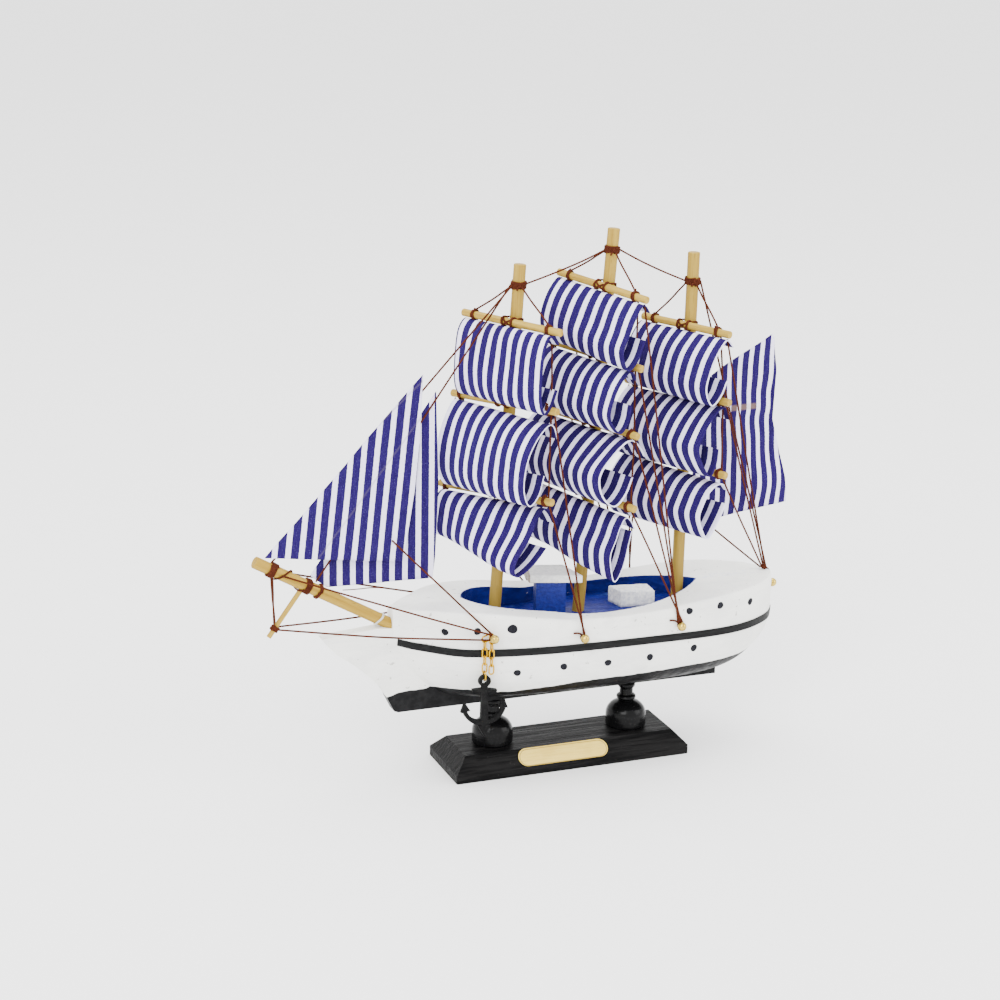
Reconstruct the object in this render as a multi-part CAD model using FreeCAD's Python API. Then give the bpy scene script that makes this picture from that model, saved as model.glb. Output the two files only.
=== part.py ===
import FreeCAD, Part
import math
import os

# Three-masted model sailing ship on a stand.  Millimetres, +Z up, +X towards the
# stern, +Y to starboard.  The origin is the centre of the underside of the stand.

os.makedirs("parts", exist_ok=True)

V = FreeCAD.Vector

# ---------------------------------------------------------------- driving sizes
BASE_LENGTH = 72.8
BASE_WIDTH = 24.4
BASE_LIP = 2.6            # upright part of the base's edge
BASE_HEIGHT = 6.8
BASE_BEVEL = 3.9          # how far the bevels run in from the edge

PLATE_LENGTH = 27.9
PLATE_WIDTH = 5.5
PLATE_THICK = 0.3
PLATE_X = -3.0

POST_SPACING = 42.4
POST_BELL_R = 6.0
POST_NECK_R = 2.0
POST_RING_R = 2.9
POST_FLANGE_R = 2.6

POST_HEIGHT = 13.4        # top of the base to the underside of the keel
KEEL_Z = BASE_HEIGHT + POST_HEIGHT

SCREW_R = 1.1
SCREW_HEAD_R = 2.3
SCREW_HEAD_DEPTH = 1.4
SCREW_RECESS = 0.8        # head sits this far up inside the base
SCREW_INTO_HULL = 7.0     # thread length above the top of the post

# The ship is drawn with the underside of its keel at this height, and is then
# moved up or down onto the posts.
DRAWN_KEEL_Z = 20.2
KEEL_THICK = 4.0
KEEL_TOP_Z = 27.0
KEEL_AFT_X = 49.3

HULL_BOW_X = -52.6
WELL_FLOOR_Z = 44.3
RIM_ROUND = 0.9
SKIN = 0.16               # thickness of the stripe
DISC_PROUD = 0.12         # porthole discs stand this far off the hull
DISC_SUNK = 0.35          # and are let this far into it
WALE_WIDTH = 1.95
PORTHOLE_R = 0.85
PORTHOLE_BIG_R = 1.15

MAST_R = 1.75
MAST_INTO_HULL = 9.0
YARD_R = 1.08
YARD_GAP = 0.07           # between a yard and its mast
YARD_OFFSET = MAST_R + YARD_R + YARD_GAP
BRACE_ANGLE = 27.0        # yards are swung this far, port ends aft

SPRIT_R = 1.72
SPRIT_INTO_HULL = 6.0
STRIKER_R = 0.7

CLOTH = 0.4               # sail thickness
SAIL_GAP = 0.15           # between cloth and the yard, mast or thread beside it

THREAD_R = 0.24
LASHING_R = 0.42          # how far a lashing stands off the stick
MAST_LASHING_LENGTH = 2.6
YARD_LASHING_LENGTH = 1.5
CROSS_LASHING_LENGTH = 1.0
CROSS_LASHING_SHIFT = 1.6     # each side of the mast
STRIKER_LASHING_LENGTH = 2.0
STRIKER_LASHING_UP = 3.0

PIN_SHANK_R = 0.4
PIN_HEAD_R = 1.3
PIN_DEPTH = 4.0
PIN_STANDOFF = 0.9        # hull side to the back of the head
CHAIN_PIN_STANDOFF = 3.1

CHAIN_WIRE_R = 0.22
LINK_LENGTH = 3.2
LINK_WIDTH = 1.8
LINKS_TO_ANCHOR = 4       # between the link on the pin and the end link
LINKS_IN_TAIL = 5
END_LINK_LENGTH = 3.2
CHAIN_GAP = 0.06
TOP_LINK_LENGTH = 4.0
TOP_LINK_WIDTH = 2.2
TOP_LINK_LEAN = 70.0      # the link on the pin leans this far towards the bow
CHAIN_OUT = 1.3           # strand to hull side
TAIL_OUT = 1.82           # tail to hull side

ANCHOR_THICK = 1.3
ANCHOR_RING_R = 1.75
ANCHOR_HOLE_R = 0.85
ANCHOR_LENGTH = 16.6      # ring centre to crown tip
ANCHOR_HALF_SPAN = 6.4


# Deck fittings
CABIN_LENGTH = 8.6
CABIN_WIDTH = 6.6
CABIN_HEIGHT = 11.0
CABIN_CORNER = (-9.7, -3.5)
CABIN_TURN = -15.0
ROOF_THICK = 2.3
BOX_LENGTH = 10.2
BOX_WIDTH = 7.0
BOX_HEIGHT = 4.8
BOX_CORNER = (17.3, -1.1)
BOX_TURN = -14.0


# --------------------------------------------------------------------- helpers
def save(name, shape):
    """Write one sub-part of the stand as a STEP file."""
    shape.exportStep("parts/" + name + ".step")


def save_ship(name, shape):
    """Write one sub-part of the ship, standing on the posts."""
    placed = shape.copy()
    placed.translate(V(0, 0, KEEL_Z - DRAWN_KEEL_Z))
    save(name, placed)


def unite(shapes):
    """Fuse a list of solids into one shape."""
    first = shapes[0]
    if len(shapes) == 1:
        return first
    return first.multiFuse(shapes[1:])


def rod(start, end, radius):
    """Round rod between two points."""
    axis = end - start
    return Part.makeCylinder(radius, axis.Length, start, axis)


def dowel(start, end, radius, edge=0.25):
    """Round rod with softened end edges."""
    axis = end - start
    body = Part.makeCylinder(radius, axis.Length, start, axis)
    ends = [e for e in body.Edges if e.Length < 2.2 * math.pi * radius and e.Closed]
    return body.makeFillet(edge, ends)


def on_line(start, end, z):
    """Point of the line start-end at height z."""
    k = (z - start.z) / (end.z - start.z)
    return start + (end - start) * k


def along(start, end, k):
    """Point a fraction k of the way from start to end."""
    return start + (end - start) * k


def cord(points, radius=THREAD_R):
    """Thread that runs straight from point to point."""
    pieces = []
    for a, b in zip(points[:-1], points[1:]):
        pieces.append(rod(a, b, radius))
    for p in points[1:-1]:
        pieces.append(Part.makeSphere(radius, p))
    return unite(pieces)


slots = []


def slotted_cord(points):
    """Cord that may pass through a sail; a slightly wider slot is kept for it."""
    slots.append(cord(points, THREAD_R + SAIL_GAP))
    return cord(points)


def trim(shape, tools):
    """Cut the tools away and keep the largest piece that is left."""
    for tool in tools:
        if shape.BoundBox.intersect(tool.BoundBox):
            shape = shape.cut(tool)
    return max(shape.Solids, key=lambda solid: solid.Volume)


def table(rows, x, column):
    """Read a column of a table of rows (x, a, b, ...) at x, straight between rows."""
    if x <= rows[0][0]:
        return rows[0][column]
    for low, high in zip(rows[:-1], rows[1:]):
        if x <= high[0]:
            k = (x - low[0]) / (high[0] - low[0])
            return low[column] + (high[column] - low[column]) * k
    return rows[-1][column]


def smooth(points, steps=3):
    """Catmull-Rom points through a list of (a, b) pairs."""
    out = []
    last = len(points) - 1
    for i in range(last):
        p0 = points[max(i - 1, 0)]
        p1 = points[i]
        p2 = points[i + 1]
        p3 = points[min(i + 2, last)]
        for s in range(steps):
            t = s / steps
            row = []
            for a, b, c, d in zip(p0, p1, p2, p3):
                value = 2 * b + (c - a) * t
                value += (2 * a - 5 * b + 4 * c - d) * t * t
                value += (3 * b - a - 3 * c + d) * t * t * t
                row.append(value / 2)
            out.append(tuple(row))
    out.append(points[-1])
    return out


# ------------------------------------------------------------------ stand base
def make_base():
    half_l = BASE_LENGTH / 2
    half_w = BASE_WIDTH / 2
    block = Part.makeBox(BASE_LENGTH, BASE_WIDTH, BASE_LIP, V(-half_l, -half_w, 0))
    low = Part.makePolygon([
        V(-half_l, -half_w, BASE_LIP), V(half_l, -half_w, BASE_LIP),
        V(half_l, half_w, BASE_LIP), V(-half_l, half_w, BASE_LIP),
        V(-half_l, -half_w, BASE_LIP)])
    in_l = half_l - BASE_BEVEL
    in_w = half_w - BASE_BEVEL
    high = Part.makePolygon([
        V(-in_l, -in_w, BASE_HEIGHT), V(in_l, -in_w, BASE_HEIGHT),
        V(in_l, in_w, BASE_HEIGHT), V(-in_l, in_w, BASE_HEIGHT),
        V(-in_l, -in_w, BASE_HEIGHT)])
    top = Part.makeLoft([low, high], True, True)
    base = block.fuse(top).removeSplitter()
    corners = []
    for e in base.Edges:
        a, b = e.Vertexes[0].Point, e.Vertexes[-1].Point
        if abs(a.x - b.x) < 0.01 and abs(a.y - b.y) < 0.01:
            corners.append(e)
    base = base.makeFillet(0.6, corners)
    for x in (-POST_SPACING / 2, POST_SPACING / 2):
        base = base.cut(Part.makeCylinder(SCREW_R, BASE_HEIGHT, V(x, 0, 0)))
        base = base.cut(Part.makeCylinder(SCREW_HEAD_R, SCREW_RECESS, V(x, 0, 0)))
        head = Part.makeCone(SCREW_HEAD_R, SCREW_R, SCREW_HEAD_DEPTH, V(x, 0, SCREW_RECESS))
        base = base.cut(head)
    return base


def make_plate():
    """Blank brass plate with round ends, lying on the port bevel."""
    half = PLATE_LENGTH / 2 - PLATE_WIDTH / 2
    r = PLATE_WIDTH / 2
    slab = Part.makeBox(2 * half, PLATE_WIDTH, PLATE_THICK, V(-half, -r, 0))
    for x in (-half, half):
        slab = slab.fuse(Part.makeCylinder(r, PLATE_THICK, V(x, 0, 0)))
    slab = slab.removeSplitter()
    tilt = math.degrees(math.atan2(BASE_HEIGHT - BASE_LIP, BASE_BEVEL))
    slab.rotate(V(0, 0, 0), V(1, 0, 0), tilt)
    mid_y = -BASE_WIDTH / 2 + BASE_BEVEL / 2
    mid_z = (BASE_LIP + BASE_HEIGHT) / 2
    slab.translate(V(PLATE_X, mid_y, mid_z))
    return slab


def make_post(x):
    """Turned post: bell foot, shoulder, bead, neck and flange under the keel."""
    z = BASE_HEIGHT
    top = KEEL_Z
    neck_z = z + 9.6
    pts = [V(SCREW_R, 0, z), V(5.6, 0, z), V(POST_BELL_R, 0, z + 0.5), V(POST_BELL_R, 0, z + 3.4)]
    wire = [Part.makeLine(a, b) for a, b in zip(pts[:-1], pts[1:])]
    shoulder_end = V(3.3, 0, z + 7.4)
    shoulder = Part.Arc(pts[-1], V(5.35, 0, z + 5.7), shoulder_end).toShape()
    wire.append(shoulder)
    neck_foot = V(2.2, 0, z + 7.9)
    wire.append(Part.makeLine(shoulder_end, neck_foot))
    bead_low = V(2.3, 0, z + 8.2)
    wire.append(Part.makeLine(neck_foot, bead_low))
    bead_high = V(POST_NECK_R, 0, neck_z)
    wire.append(Part.Arc(bead_low, V(POST_RING_R, 0, z + 8.9), bead_high).toShape())
    neck_high = V(POST_NECK_R, 0, top - 2.0)
    wire.append(Part.makeLine(bead_high, neck_high))
    flange_low = V(POST_NECK_R + 0.1, 0, top - 1.6)
    wire.append(Part.makeLine(neck_high, flange_low))
    flange_high = V(POST_FLANGE_R - 0.3, 0, top)
    wire.append(Part.Arc(flange_low, V(POST_FLANGE_R, 0, top - 0.8), flange_high).toShape())
    bore_high = V(SCREW_R, 0, top)
    wire.append(Part.makeLine(flange_high, bore_high))
    wire.append(Part.makeLine(bore_high, pts[0]))
    face = Part.Face(Part.Wire(wire))
    post = face.revolve(V(0, 0, 0), V(0, 0, 1), 360)
    post.translate(V(x, 0, 0))
    return post


def make_screw(x):
    """Wood screw from under the base, up the post and into the hull."""
    head = Part.makeCone(SCREW_HEAD_R, SCREW_R, SCREW_HEAD_DEPTH, V(x, 0, SCREW_RECESS))
    start = SCREW_RECESS + SCREW_HEAD_DEPTH
    length = KEEL_Z + SCREW_INTO_HULL - start
    shank = Part.makeCylinder(SCREW_R, length, V(x, 0, start))
    slot = Part.makeBox(2 * SCREW_HEAD_R, 0.6, 0.6, V(x - SCREW_HEAD_R, -0.3, SCREW_RECESS))
    return head.fuse(shank).removeSplitter().cut(slot)


# ------------------------------------------------------------------------ hull
# One row per station: x, half beam, deck height, start of the bilge, bottom, and
# how hollow the section is below the bilge (1 is an ellipse, more is a V).
STATIONS = [
    (-52.6, 2.5, 51.3, 46.0, 40.5, 1.10),
    (-50.0, 4.0, 51.6, 45.0, 36.5, 1.25),
    (-46.5, 6.8, 51.9, 43.0, 31.5, 1.35),
    (-41.7, 10.4, 52.2, 41.0, 26.8, 1.35),
    (-34.7, 14.4, 52.2, 39.5, 23.6, 1.20),
    (-26.0, 16.8, 51.6, 38.0, 22.5, 1.00),
    (-16.0, 18.3, 50.2, 37.5, 22.3, 0.88),
    (-6.0, 19.0, 48.8, 37.0, 22.3, 0.85),
    (6.0, 19.3, 48.1, 37.0, 22.3, 0.85),
    (20.0, 19.3, 48.4, 37.0, 22.3, 0.85),
    (32.0, 18.8, 49.4, 37.0, 22.4, 0.87),
    (42.0, 17.9, 50.2, 37.2, 22.9, 0.90),
    (50.0, 16.0, 50.6, 37.6, 24.4, 0.92),
    (56.0, 13.2, 50.7, 38.0, 27.2, 0.95),
    (60.5, 10.1, 50.8, 38.6, 30.4, 0.95),
    (63.6, 7.0, 50.8, 39.4, 33.8, 0.95),
    (65.6, 4.0, 50.8, 40.5, 37.4, 0.95),
    (66.3, 2.2, 50.8, 41.5, 39.6, 0.95),
]

# Centre height of the black stripe at stations along the hull.
WALE = [
    (-52.6, 41.8), (-48.0, 41.3), (-41.7, 40.9), (-34.7, 40.5), (-25.0, 40.4),
    (-10.0, 40.2), (5.0, 40.1), (20.0, 40.0), (35.0, 39.7), (50.0, 39.5), (67.0, 39.3),
]

# Half widths of the sunken well in the deck.
WELL = [
    (-30.0, 3.4), (-27.6, 6.4), (-24.0, 8.9), (-19.0, 10.4), (-13.0, 10.9),
    (-8.0, 11.3), (-3.5, 12.8), (1.5, 13.8), (8.0, 14.0), (15.0, 13.6),
    (22.0, 12.5), (29.0, 10.2), (35.0, 6.9), (39.5, 3.3),
]
WELL_FORE_X = -31.0
WELL_AFT_X = 42.2


def section(row, grow=0.0):
    """Closed wire of the hull at one station, grown outwards by a small amount."""
    x, beam, deck, bilge, bottom, hollow = row
    beam = beam + grow
    bottom = bottom - grow
    deck = deck + grow
    r = min(RIM_ROUND, beam * 0.3)
    half = [(beam - r, deck), (beam - 0.3 * r, deck - 0.3 * r), (beam, deck - r)]
    middle = (deck - r + bilge) / 2
    half.append((beam, middle))
    steps = 7
    for i in range(steps):
        t = math.pi / 2 * i / steps
        y = beam * math.cos(t) ** hollow
        z = bilge - (bilge - bottom) * math.sin(t) ** 0.9
        half.append((y, z))
    port = [V(x, -y, z) for y, z in half]
    starboard = [V(x, y, z) for y, z in reversed(half)]
    shell = Part.BSplineCurve()
    shell.interpolate(port + [V(x, 0, bottom)] + starboard)
    deck_line = Part.makeLine(starboard[-1], port[0])
    return Part.Wire([shell.toShape(), deck_line])


def hull_body(grow=0.0):
    """Hull block without holes."""
    wires = [section(row, grow) for row in STATIONS]
    return Part.makeLoft(wires, True, False, False, 3)


def beam_at(x):
    return table(STATIONS, x, 1)


def deck_at(x):
    return table(STATIONS, x, 2)


def make_well_cutter():
    """Tool for the sunken well: round fore end, pointed aft end."""
    port = [V(x, -w, WELL_FLOOR_Z) for x, w in WELL]
    starboard = [V(x, w, WELL_FLOOR_Z) for x, w in reversed(WELL)]
    fore = V(WELL_FORE_X, 0, WELL_FLOOR_Z)
    aft = V(WELL_AFT_X, 0, WELL_FLOOR_Z)
    curve = Part.BSplineCurve()
    curve.interpolate([aft] + starboard + [fore] + port + [aft])
    face = Part.Face(Part.Wire([curve.toShape()]))
    return face.extrude(V(0, 0, 20))


# ----------------------------------------------------------------- masts, spars
MASTS = {
    "fore": (V(-21.03, 0, 48.1), V(-15.01, 0, 147.3)),
    "main": (V(4.99, 0, 44.8), V(12.98, 0, 156.0)),
    "mizzen": (V(36.45, 0, 44.0), V(37.97, 0, 148.0)),
}
MAST_LASHING_Z = {"fore": 141.6, "main": 150.0, "mizzen": 139.8}

# Each yard: mast, height, shift along the yard to port, tilt (port end down), length.
YARDS = {
    "fore_1": ("fore", 131.5, 0.9, 0.7, 36.2),
    "fore_2": ("fore", 108.8, 0.4, -1.9, 39.5),
    "fore_3": ("fore", 82.6, -0.5, -3.7, 42.8),
    "main_1": ("main", 140.1, 0.1, 6.4, 32.6),
    "main_2": ("main", 120.5, -1.1, 5.0, 36.0),
    "main_3": ("main", 101.2, -1.4, 4.0, 38.6),
    "main_4": ("main", 80.6, -1.0, 4.0, 40.6),
    "mizzen_1": ("mizzen", 127.4, 0.7, 1.6, 31.4),
    "mizzen_2": ("mizzen", 107.8, -1.3, 0.8, 37.8),
    "mizzen_3": ("mizzen", 86.8, -2.0, 2.0, 39.4),
}

SWING = math.radians(BRACE_ANGLE)
SAIL_FRONT = V(-math.cos(SWING), -math.sin(SWING), 0)     # the way the sails belly


def mast_at(name, z):
    foot, top = MASTS[name]
    return on_line(foot, top, z)


def yard_frame(key):
    """Centre and unit direction (towards the port end) of a yard."""
    mast, z, shift, tilt, length = YARDS[key]
    t = math.radians(tilt)
    way = V(math.sin(SWING) * math.cos(t), -math.cos(SWING) * math.cos(t), -math.sin(t))
    centre = mast_at(mast, z) + SAIL_FRONT * YARD_OFFSET + way * shift
    return centre, way, length


def yard_point(key, distance):
    """Point on a yard's axis, measured from its middle towards port."""
    centre, way, length = yard_frame(key)
    return centre + way * distance


def yard_tip(key, side, inset=0.0):
    """Point near one end of a yard: side is 1 for port, -1 for starboard."""
    centre, way, length = yard_frame(key)
    return centre + way * (side * (length / 2 - inset))


# ---------------------------------------------------------------- square sails
# Each sail: width, then for the port edge and the starboard edge
# (drop, belly, reach of the lower flap, rise of the lower flap).
SAILS = {
    "fore_1": (33.6, (22.2, 6.4, -0.8, 6.2), (22.0, 5.4, -0.8, 6.2)),
    "fore_2": (34.6, (25.6, 10.0, 1.0, 7.8), (25.2, 8.6, 0.5, 7.8)),
    "fore_3": (34.8, (20.4, 10.2, -2.4, 6.6), (14.6, 7.6, -3.0, 5.5)),
    "main_1": (31.6, (18.7, 9.0, -0.6, 7.4), (18.4, 7.8, -0.6, 7.4)),
    "main_2": (34.0, (18.2, 9.6, 0.8, 7.2), (18.4, 8.6, 0.6, 7.2)),
    "main_3": (34.6, (19.2, 10.4, 0.6, 7.0), (19.4, 8.8, 0.4, 7.0)),
    "main_4": (35.2, (21.0, 7.2, -2.8, 12.6), (17.2, 6.4, -2.8, 9.0)),
    "mizzen_1": (31.4, (19.2, 9.6, 0.2, 6.4), (19.0, 8.4, 0.0, 6.4)),
    "mizzen_2": (34.2, (20.4, 10.4, 0.8, 7.4), (20.4, 8.8, 0.6, 7.4)),
    "mizzen_3": (34.8, (18.6, 8.8, -3.0, 9.0), (18.6, 8.0, -3.0, 8.0)),
}
TOP_FLAP_BACK = 4.2
TOP_FLAP_DROP = 4.4


def sail_profile(drop, belly, reach, rise):
    """Side view of a square sail: (forward, up) from the yard's axis."""
    under = YARD_R + SAIL_GAP + CLOTH / 2
    low = rise * 0.35
    points = [
        (-TOP_FLAP_BACK, -under - TOP_FLAP_DROP + 1.2),
        (-TOP_FLAP_BACK * 0.55, -under - 1.0),
        (0.2, -under),
        (belly * 0.58, -under - drop * 0.13),
        (belly * 0.92, -drop * 0.42),
        (belly, -drop * 0.66),
        (belly * 0.90, -drop * 0.88),
        (belly * 0.62, -drop),
        (belly * 0.62 + (reach - belly * 0.62) * 0.45, -drop + low * 0.75),
        (reach, -drop + rise),
    ]
    return smooth(points)


def sheet_wire(points, place):
    """Closed outline of a thin sheet drawn around a centre line."""
    left = []
    right = []
    last = len(points) - 1
    for i, (a, b) in enumerate(points):
        a0, b0 = points[max(i - 1, 0)]
        a1, b1 = points[min(i + 1, last)]
        size = math.hypot(a1 - a0, b1 - b0)
        na = -(b1 - b0) / size * CLOTH / 2
        nb = (a1 - a0) / size * CLOTH / 2
        left.append(place(a + na, b + nb))
        right.append(place(a - na, b - nb))
    return Part.makePolygon(left + right[::-1] + [left[0]])


def make_sail(key):
    width, port, starboard = SAILS[key]
    wires = []
    for side, numbers in ((1, port), (-1, starboard)):
        edge = yard_point(key, side * width / 2)

        def place(forward, up, edge=edge):
            return edge + SAIL_FRONT * forward + V(0, 0, up)

        wires.append(sheet_wire(sail_profile(*numbers), place))
    sail = Part.makeLoft(wires, True, True)
    foot, top = MASTS[YARDS[key][0]]
    return trim(sail, [rod(foot, top, MAST_R + SAIL_GAP)])


# ------------------------------------------------------------- fore-and-aft sails
SPRIT_TIP = V(-91.8, 0, 68.7)
SPRIT_FOOT = V(-52.6, 0, 46.5)          # where it enters the bow
STRIKER_FOOT = V(-88.0, 0, 46.4)

JIB_Y = 1.1                              # how far each jib stands off the centre line
OUTER_JIB = [(-89.1, 69.9), (-49.1, 64.9), (-44.6, 92.0), (-43.6, 118.4)]
INNER_JIB = [(-75.6, 62.8), (-70.9, 58.9), (-39.2, 58.5), (-38.2, 86.0), (-38.7, 113.0)]
SPANKER = [
    (40.1, 66.8), (55.0, 68.4), (72.8, 70.6), (69.8, 88.0), (66.2, 101.0),
    (67.4, 108.0), (65.2, 122.6), (50.8, 114.5), (40.4, 108.2),
]
SPANKER_SWING = 5.0                      # degrees to starboard about the mizzen mast
GAFF_Z = 101.0
GAFF_LENGTH = 24.0
GAFF_R = 0.8


def flat_sail(outline, y):
    """Thin upright sheet with the given outline."""
    pts = [V(x, y - CLOTH / 2, z) for x, z in outline]
    face = Part.Face(Part.makePolygon(pts + [pts[0]]))
    return face.extrude(V(0, CLOTH, 0))


# ------------------------------------------------------------------- pins, chain
PIN_POINTS = {                           # x and height on the port side
    "bow": (-28.6, 45.9),
    "waist": (-1.6, 43.3),
    "quarter": (28.6, 43.5),
}
STERN_PIN_Z = 46.3


def pin_anchor(name, side):
    """Point on the hull side where a pin enters, and its outward direction."""
    x, z = PIN_POINTS[name]
    return V(x, side * beam_at(x), z), V(0, side, 0)


def pin_standoff(name, side):
    if name == "bow" and side < 0:
        return CHAIN_PIN_STANDOFF
    return PIN_STANDOFF


def make_pin(point, way, standoff):
    start = point - way * PIN_DEPTH
    shank = Part.makeCylinder(PIN_SHANK_R, PIN_DEPTH + standoff + 0.4, start, way)
    centre = point + way * (standoff + PIN_HEAD_R * 0.75)
    head = Part.makeSphere(PIN_HEAD_R, centre)
    back_start = point + way * (standoff - PIN_HEAD_R)
    back = Part.makeCylinder(PIN_HEAD_R * 2, PIN_HEAD_R, back_start, way)
    return head.cut(back).fuse(shank).removeSplitter()


def pin_hole(point, way):
    return Part.makeCylinder(PIN_SHANK_R, PIN_DEPTH + 1.0, point - way * PIN_DEPTH, way)


def pin_wrap(name, side):
    """Where threads are wound on a pin, between the hull and the head."""
    point, way = pin_anchor(name, side)
    return point + way * (pin_standoff(name, side) - 0.35) + V(0, 0, PIN_SHANK_R + THREAD_R)


def make_link(centre, along_y, length=LINK_LENGTH, width=LINK_WIDTH, lean=0.0):
    """Oval chain link hanging upright; along_y turns it edge on."""
    half = (length - width) / 2
    r = width / 2 - CHAIN_WIRE_R
    ring = Part.makeTorus(r, CHAIN_WIRE_R, V(0, 0, 0), V(0, 1, 0))
    size = width + 1
    below = Part.makeBox(size, size, size, V(-size / 2, -size / 2, -size))
    upper = ring.cut(below)
    upper.translate(V(0, 0, half))
    lower = ring.cut(below)
    lower.rotate(V(0, 0, 0), V(0, 1, 0), 180)
    lower.translate(V(0, 0, -half))
    sides = []
    for x in (-r, r):
        sides.append(Part.makeCylinder(CHAIN_WIRE_R, 2 * half, V(x, 0, -half)))
    link = unite([upper, lower] + sides).removeSplitter()
    link.rotate(V(0, 0, 0), V(0, 1, 0), lean)
    if along_y:
        link.rotate(V(0, 0, 0), V(0, 0, 1), 90)
    link.translate(centre)
    return link


def strand(top, count, turned):
    """Links hanging one below the other; top is the top of the first link."""
    pitch = LINK_LENGTH - 4 * CHAIN_WIRE_R - CHAIN_GAP
    links = []
    for i in range(count):
        centre = top - V(0, 0, LINK_LENGTH / 2 + i * pitch)
        links.append(make_link(centre, (i % 2 == 1) != turned))
    last_inside = top - V(0, 0, LINK_LENGTH + (count - 1) * pitch - 2 * CHAIN_WIRE_R)
    return links, last_inside


CHAIN_POINT, CHAIN_WAY = pin_anchor("bow", -1)
CHAIN_Y = CHAIN_POINT.y - CHAIN_OUT
TAIL_Y = CHAIN_POINT.y - TAIL_OUT
LEAN = math.radians(TOP_LINK_LEAN)
PIN_AXIS = V(CHAIN_POINT.x, CHAIN_Y, CHAIN_POINT.z)
# The top link bears on the pin; the strand hangs in the bend at its other end.
TOP_LINK_WAY = V(-math.sin(LEAN), 0, -math.cos(LEAN))
TOP_LINK_REACH = TOP_LINK_LENGTH / 2 - 2 * CHAIN_WIRE_R - PIN_SHANK_R - CHAIN_GAP
TOP_LINK_MID = PIN_AXIS + TOP_LINK_WAY * TOP_LINK_REACH
TOP_LINK_BEND = TOP_LINK_MID + TOP_LINK_WAY * (TOP_LINK_LENGTH - TOP_LINK_WIDTH) / 2
BEND_DROP = TOP_LINK_WIDTH / 2 - 3 * CHAIN_WIRE_R - CHAIN_GAP
STRAND_HINGE = TOP_LINK_BEND - V(0, 0, BEND_DROP)


def make_anchor(ring_z):
    """Flat cast anchor: ring, stock, shank, curved arms with barbs, pointed crown."""
    half = ANCHOR_THICK / 2
    x0 = STRAND_HINGE.x
    y0 = CHAIN_Y

    def plate(points):
        pts = [V(x0 + x, y0 - half, ring_z + z) for x, z in points]
        return Part.Face(Part.makePolygon(pts + [pts[0]])).extrude(V(0, ANCHOR_THICK, 0))

    ring = Part.makeCylinder(ANCHOR_RING_R, ANCHOR_THICK, V(x0, y0 - half, ring_z), V(0, 1, 0))
    length = ANCHOR_LENGTH
    shank = plate([(-0.8, -1.2), (0.8, -1.2), (1.15, -length + 3), (-1.15, -length + 3)])
    stock = plate([(-3.7, -2.1), (-3.5, -3.0), (3.5, -3.7), (3.7, -2.9), (0.8, -2.2), (0, -2.0)])
    crown = plate([(-1.9, -length + 3.4), (1.9, -length + 3.4), (0, -length)])
    arms = []
    outer = ANCHOR_HALF_SPAN
    centre_z = -length + 2.9 + outer
    for side in (-1, 1):
        outline = []
        for i in range(9):
            t = math.radians(-90 + 80 * i / 8)
            radius = outer + 0.1
            outline.append((side * radius * math.cos(t), centre_z + radius * math.sin(t) * 0.9))
        for i in range(8, -1, -1):
            t = math.radians(-90 + 80 * i / 8)
            radius = outer - 1.5 + 0.5 * i / 8
            outline.append((side * radius * math.cos(t), centre_z + radius * math.sin(t) * 0.9))
        arms.append(plate(outline))
        tip_x = side * (outer - 0.5)
        tip_z = centre_z + 1.6
        barb = [(tip_x, tip_z), (tip_x + side * 1.1, tip_z - 3.0), (tip_x - side * 1.6, tip_z - 2.6)]
        arms.append(plate(barb))
    body = unite([ring, shank, stock, crown] + arms).removeSplitter()
    eye_start = V(x0, y0 - ANCHOR_THICK, ring_z)
    eye = Part.makeCylinder(ANCHOR_HOLE_R, 2 * ANCHOR_THICK, eye_start, V(0, 1, 0))
    return body.cut(eye)


# ===================================================================== building
base = make_base()
save("stand_base", base)
save("name_plate", make_plate())
fore_post_x = -POST_SPACING / 2
aft_post_x = POST_SPACING / 2
save("post_fore", make_post(fore_post_x))
save("post_aft", make_post(aft_post_x))
save("stand_screws", Part.makeCompound([make_screw(fore_post_x), make_screw(aft_post_x)]))

# Hull, with the well, the holes for masts, bowsprit, pins and screws.
block = hull_body()
hull = block.cut(make_well_cutter())

mast_solids = {}
for name, (foot, top) in MASTS.items():
    way = (top - foot).normalize()
    start = foot - way * MAST_INTO_HULL
    mast_solids[name] = dowel(start, top, MAST_R)
    hull = hull.cut(Part.makeCylinder(MAST_R, 30, start, way))

sprit_way = (SPRIT_TIP - SPRIT_FOOT).normalize()
sprit_start = SPRIT_FOOT - sprit_way * SPRIT_INTO_HULL
sprit = dowel(sprit_start, SPRIT_TIP, SPRIT_R)
sprit_bore = Part.makeCylinder(SPRIT_R, 30, sprit_start, sprit_way)
hull = hull.cut(sprit_bore)

pins = []
pin_tools = []
for name in PIN_POINTS:
    for side in (-1, 1):
        point, way = pin_anchor(name, side)
        pins.append(make_pin(point, way, pin_standoff(name, side)))
        pin_tools.append(pin_hole(point, way))
stern_point = V(STATIONS[-1][0], 0, STERN_PIN_Z)
pins.append(make_pin(stern_point, V(1, 0, 0), PIN_STANDOFF))
pin_tools.append(pin_hole(stern_point, V(1, 0, 0)))
for tool in pin_tools:
    hull = hull.cut(tool)

screw_tools = []
for x in (fore_post_x, aft_post_x):
    screw_tools.append(Part.makeCylinder(SCREW_R, SCREW_INTO_HULL, V(x, 0, DRAWN_KEEL_Z)))
for tool in screw_tools:
    hull = hull.cut(tool)
save_ship("rigging_pins", Part.makeCompound(pins))

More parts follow.
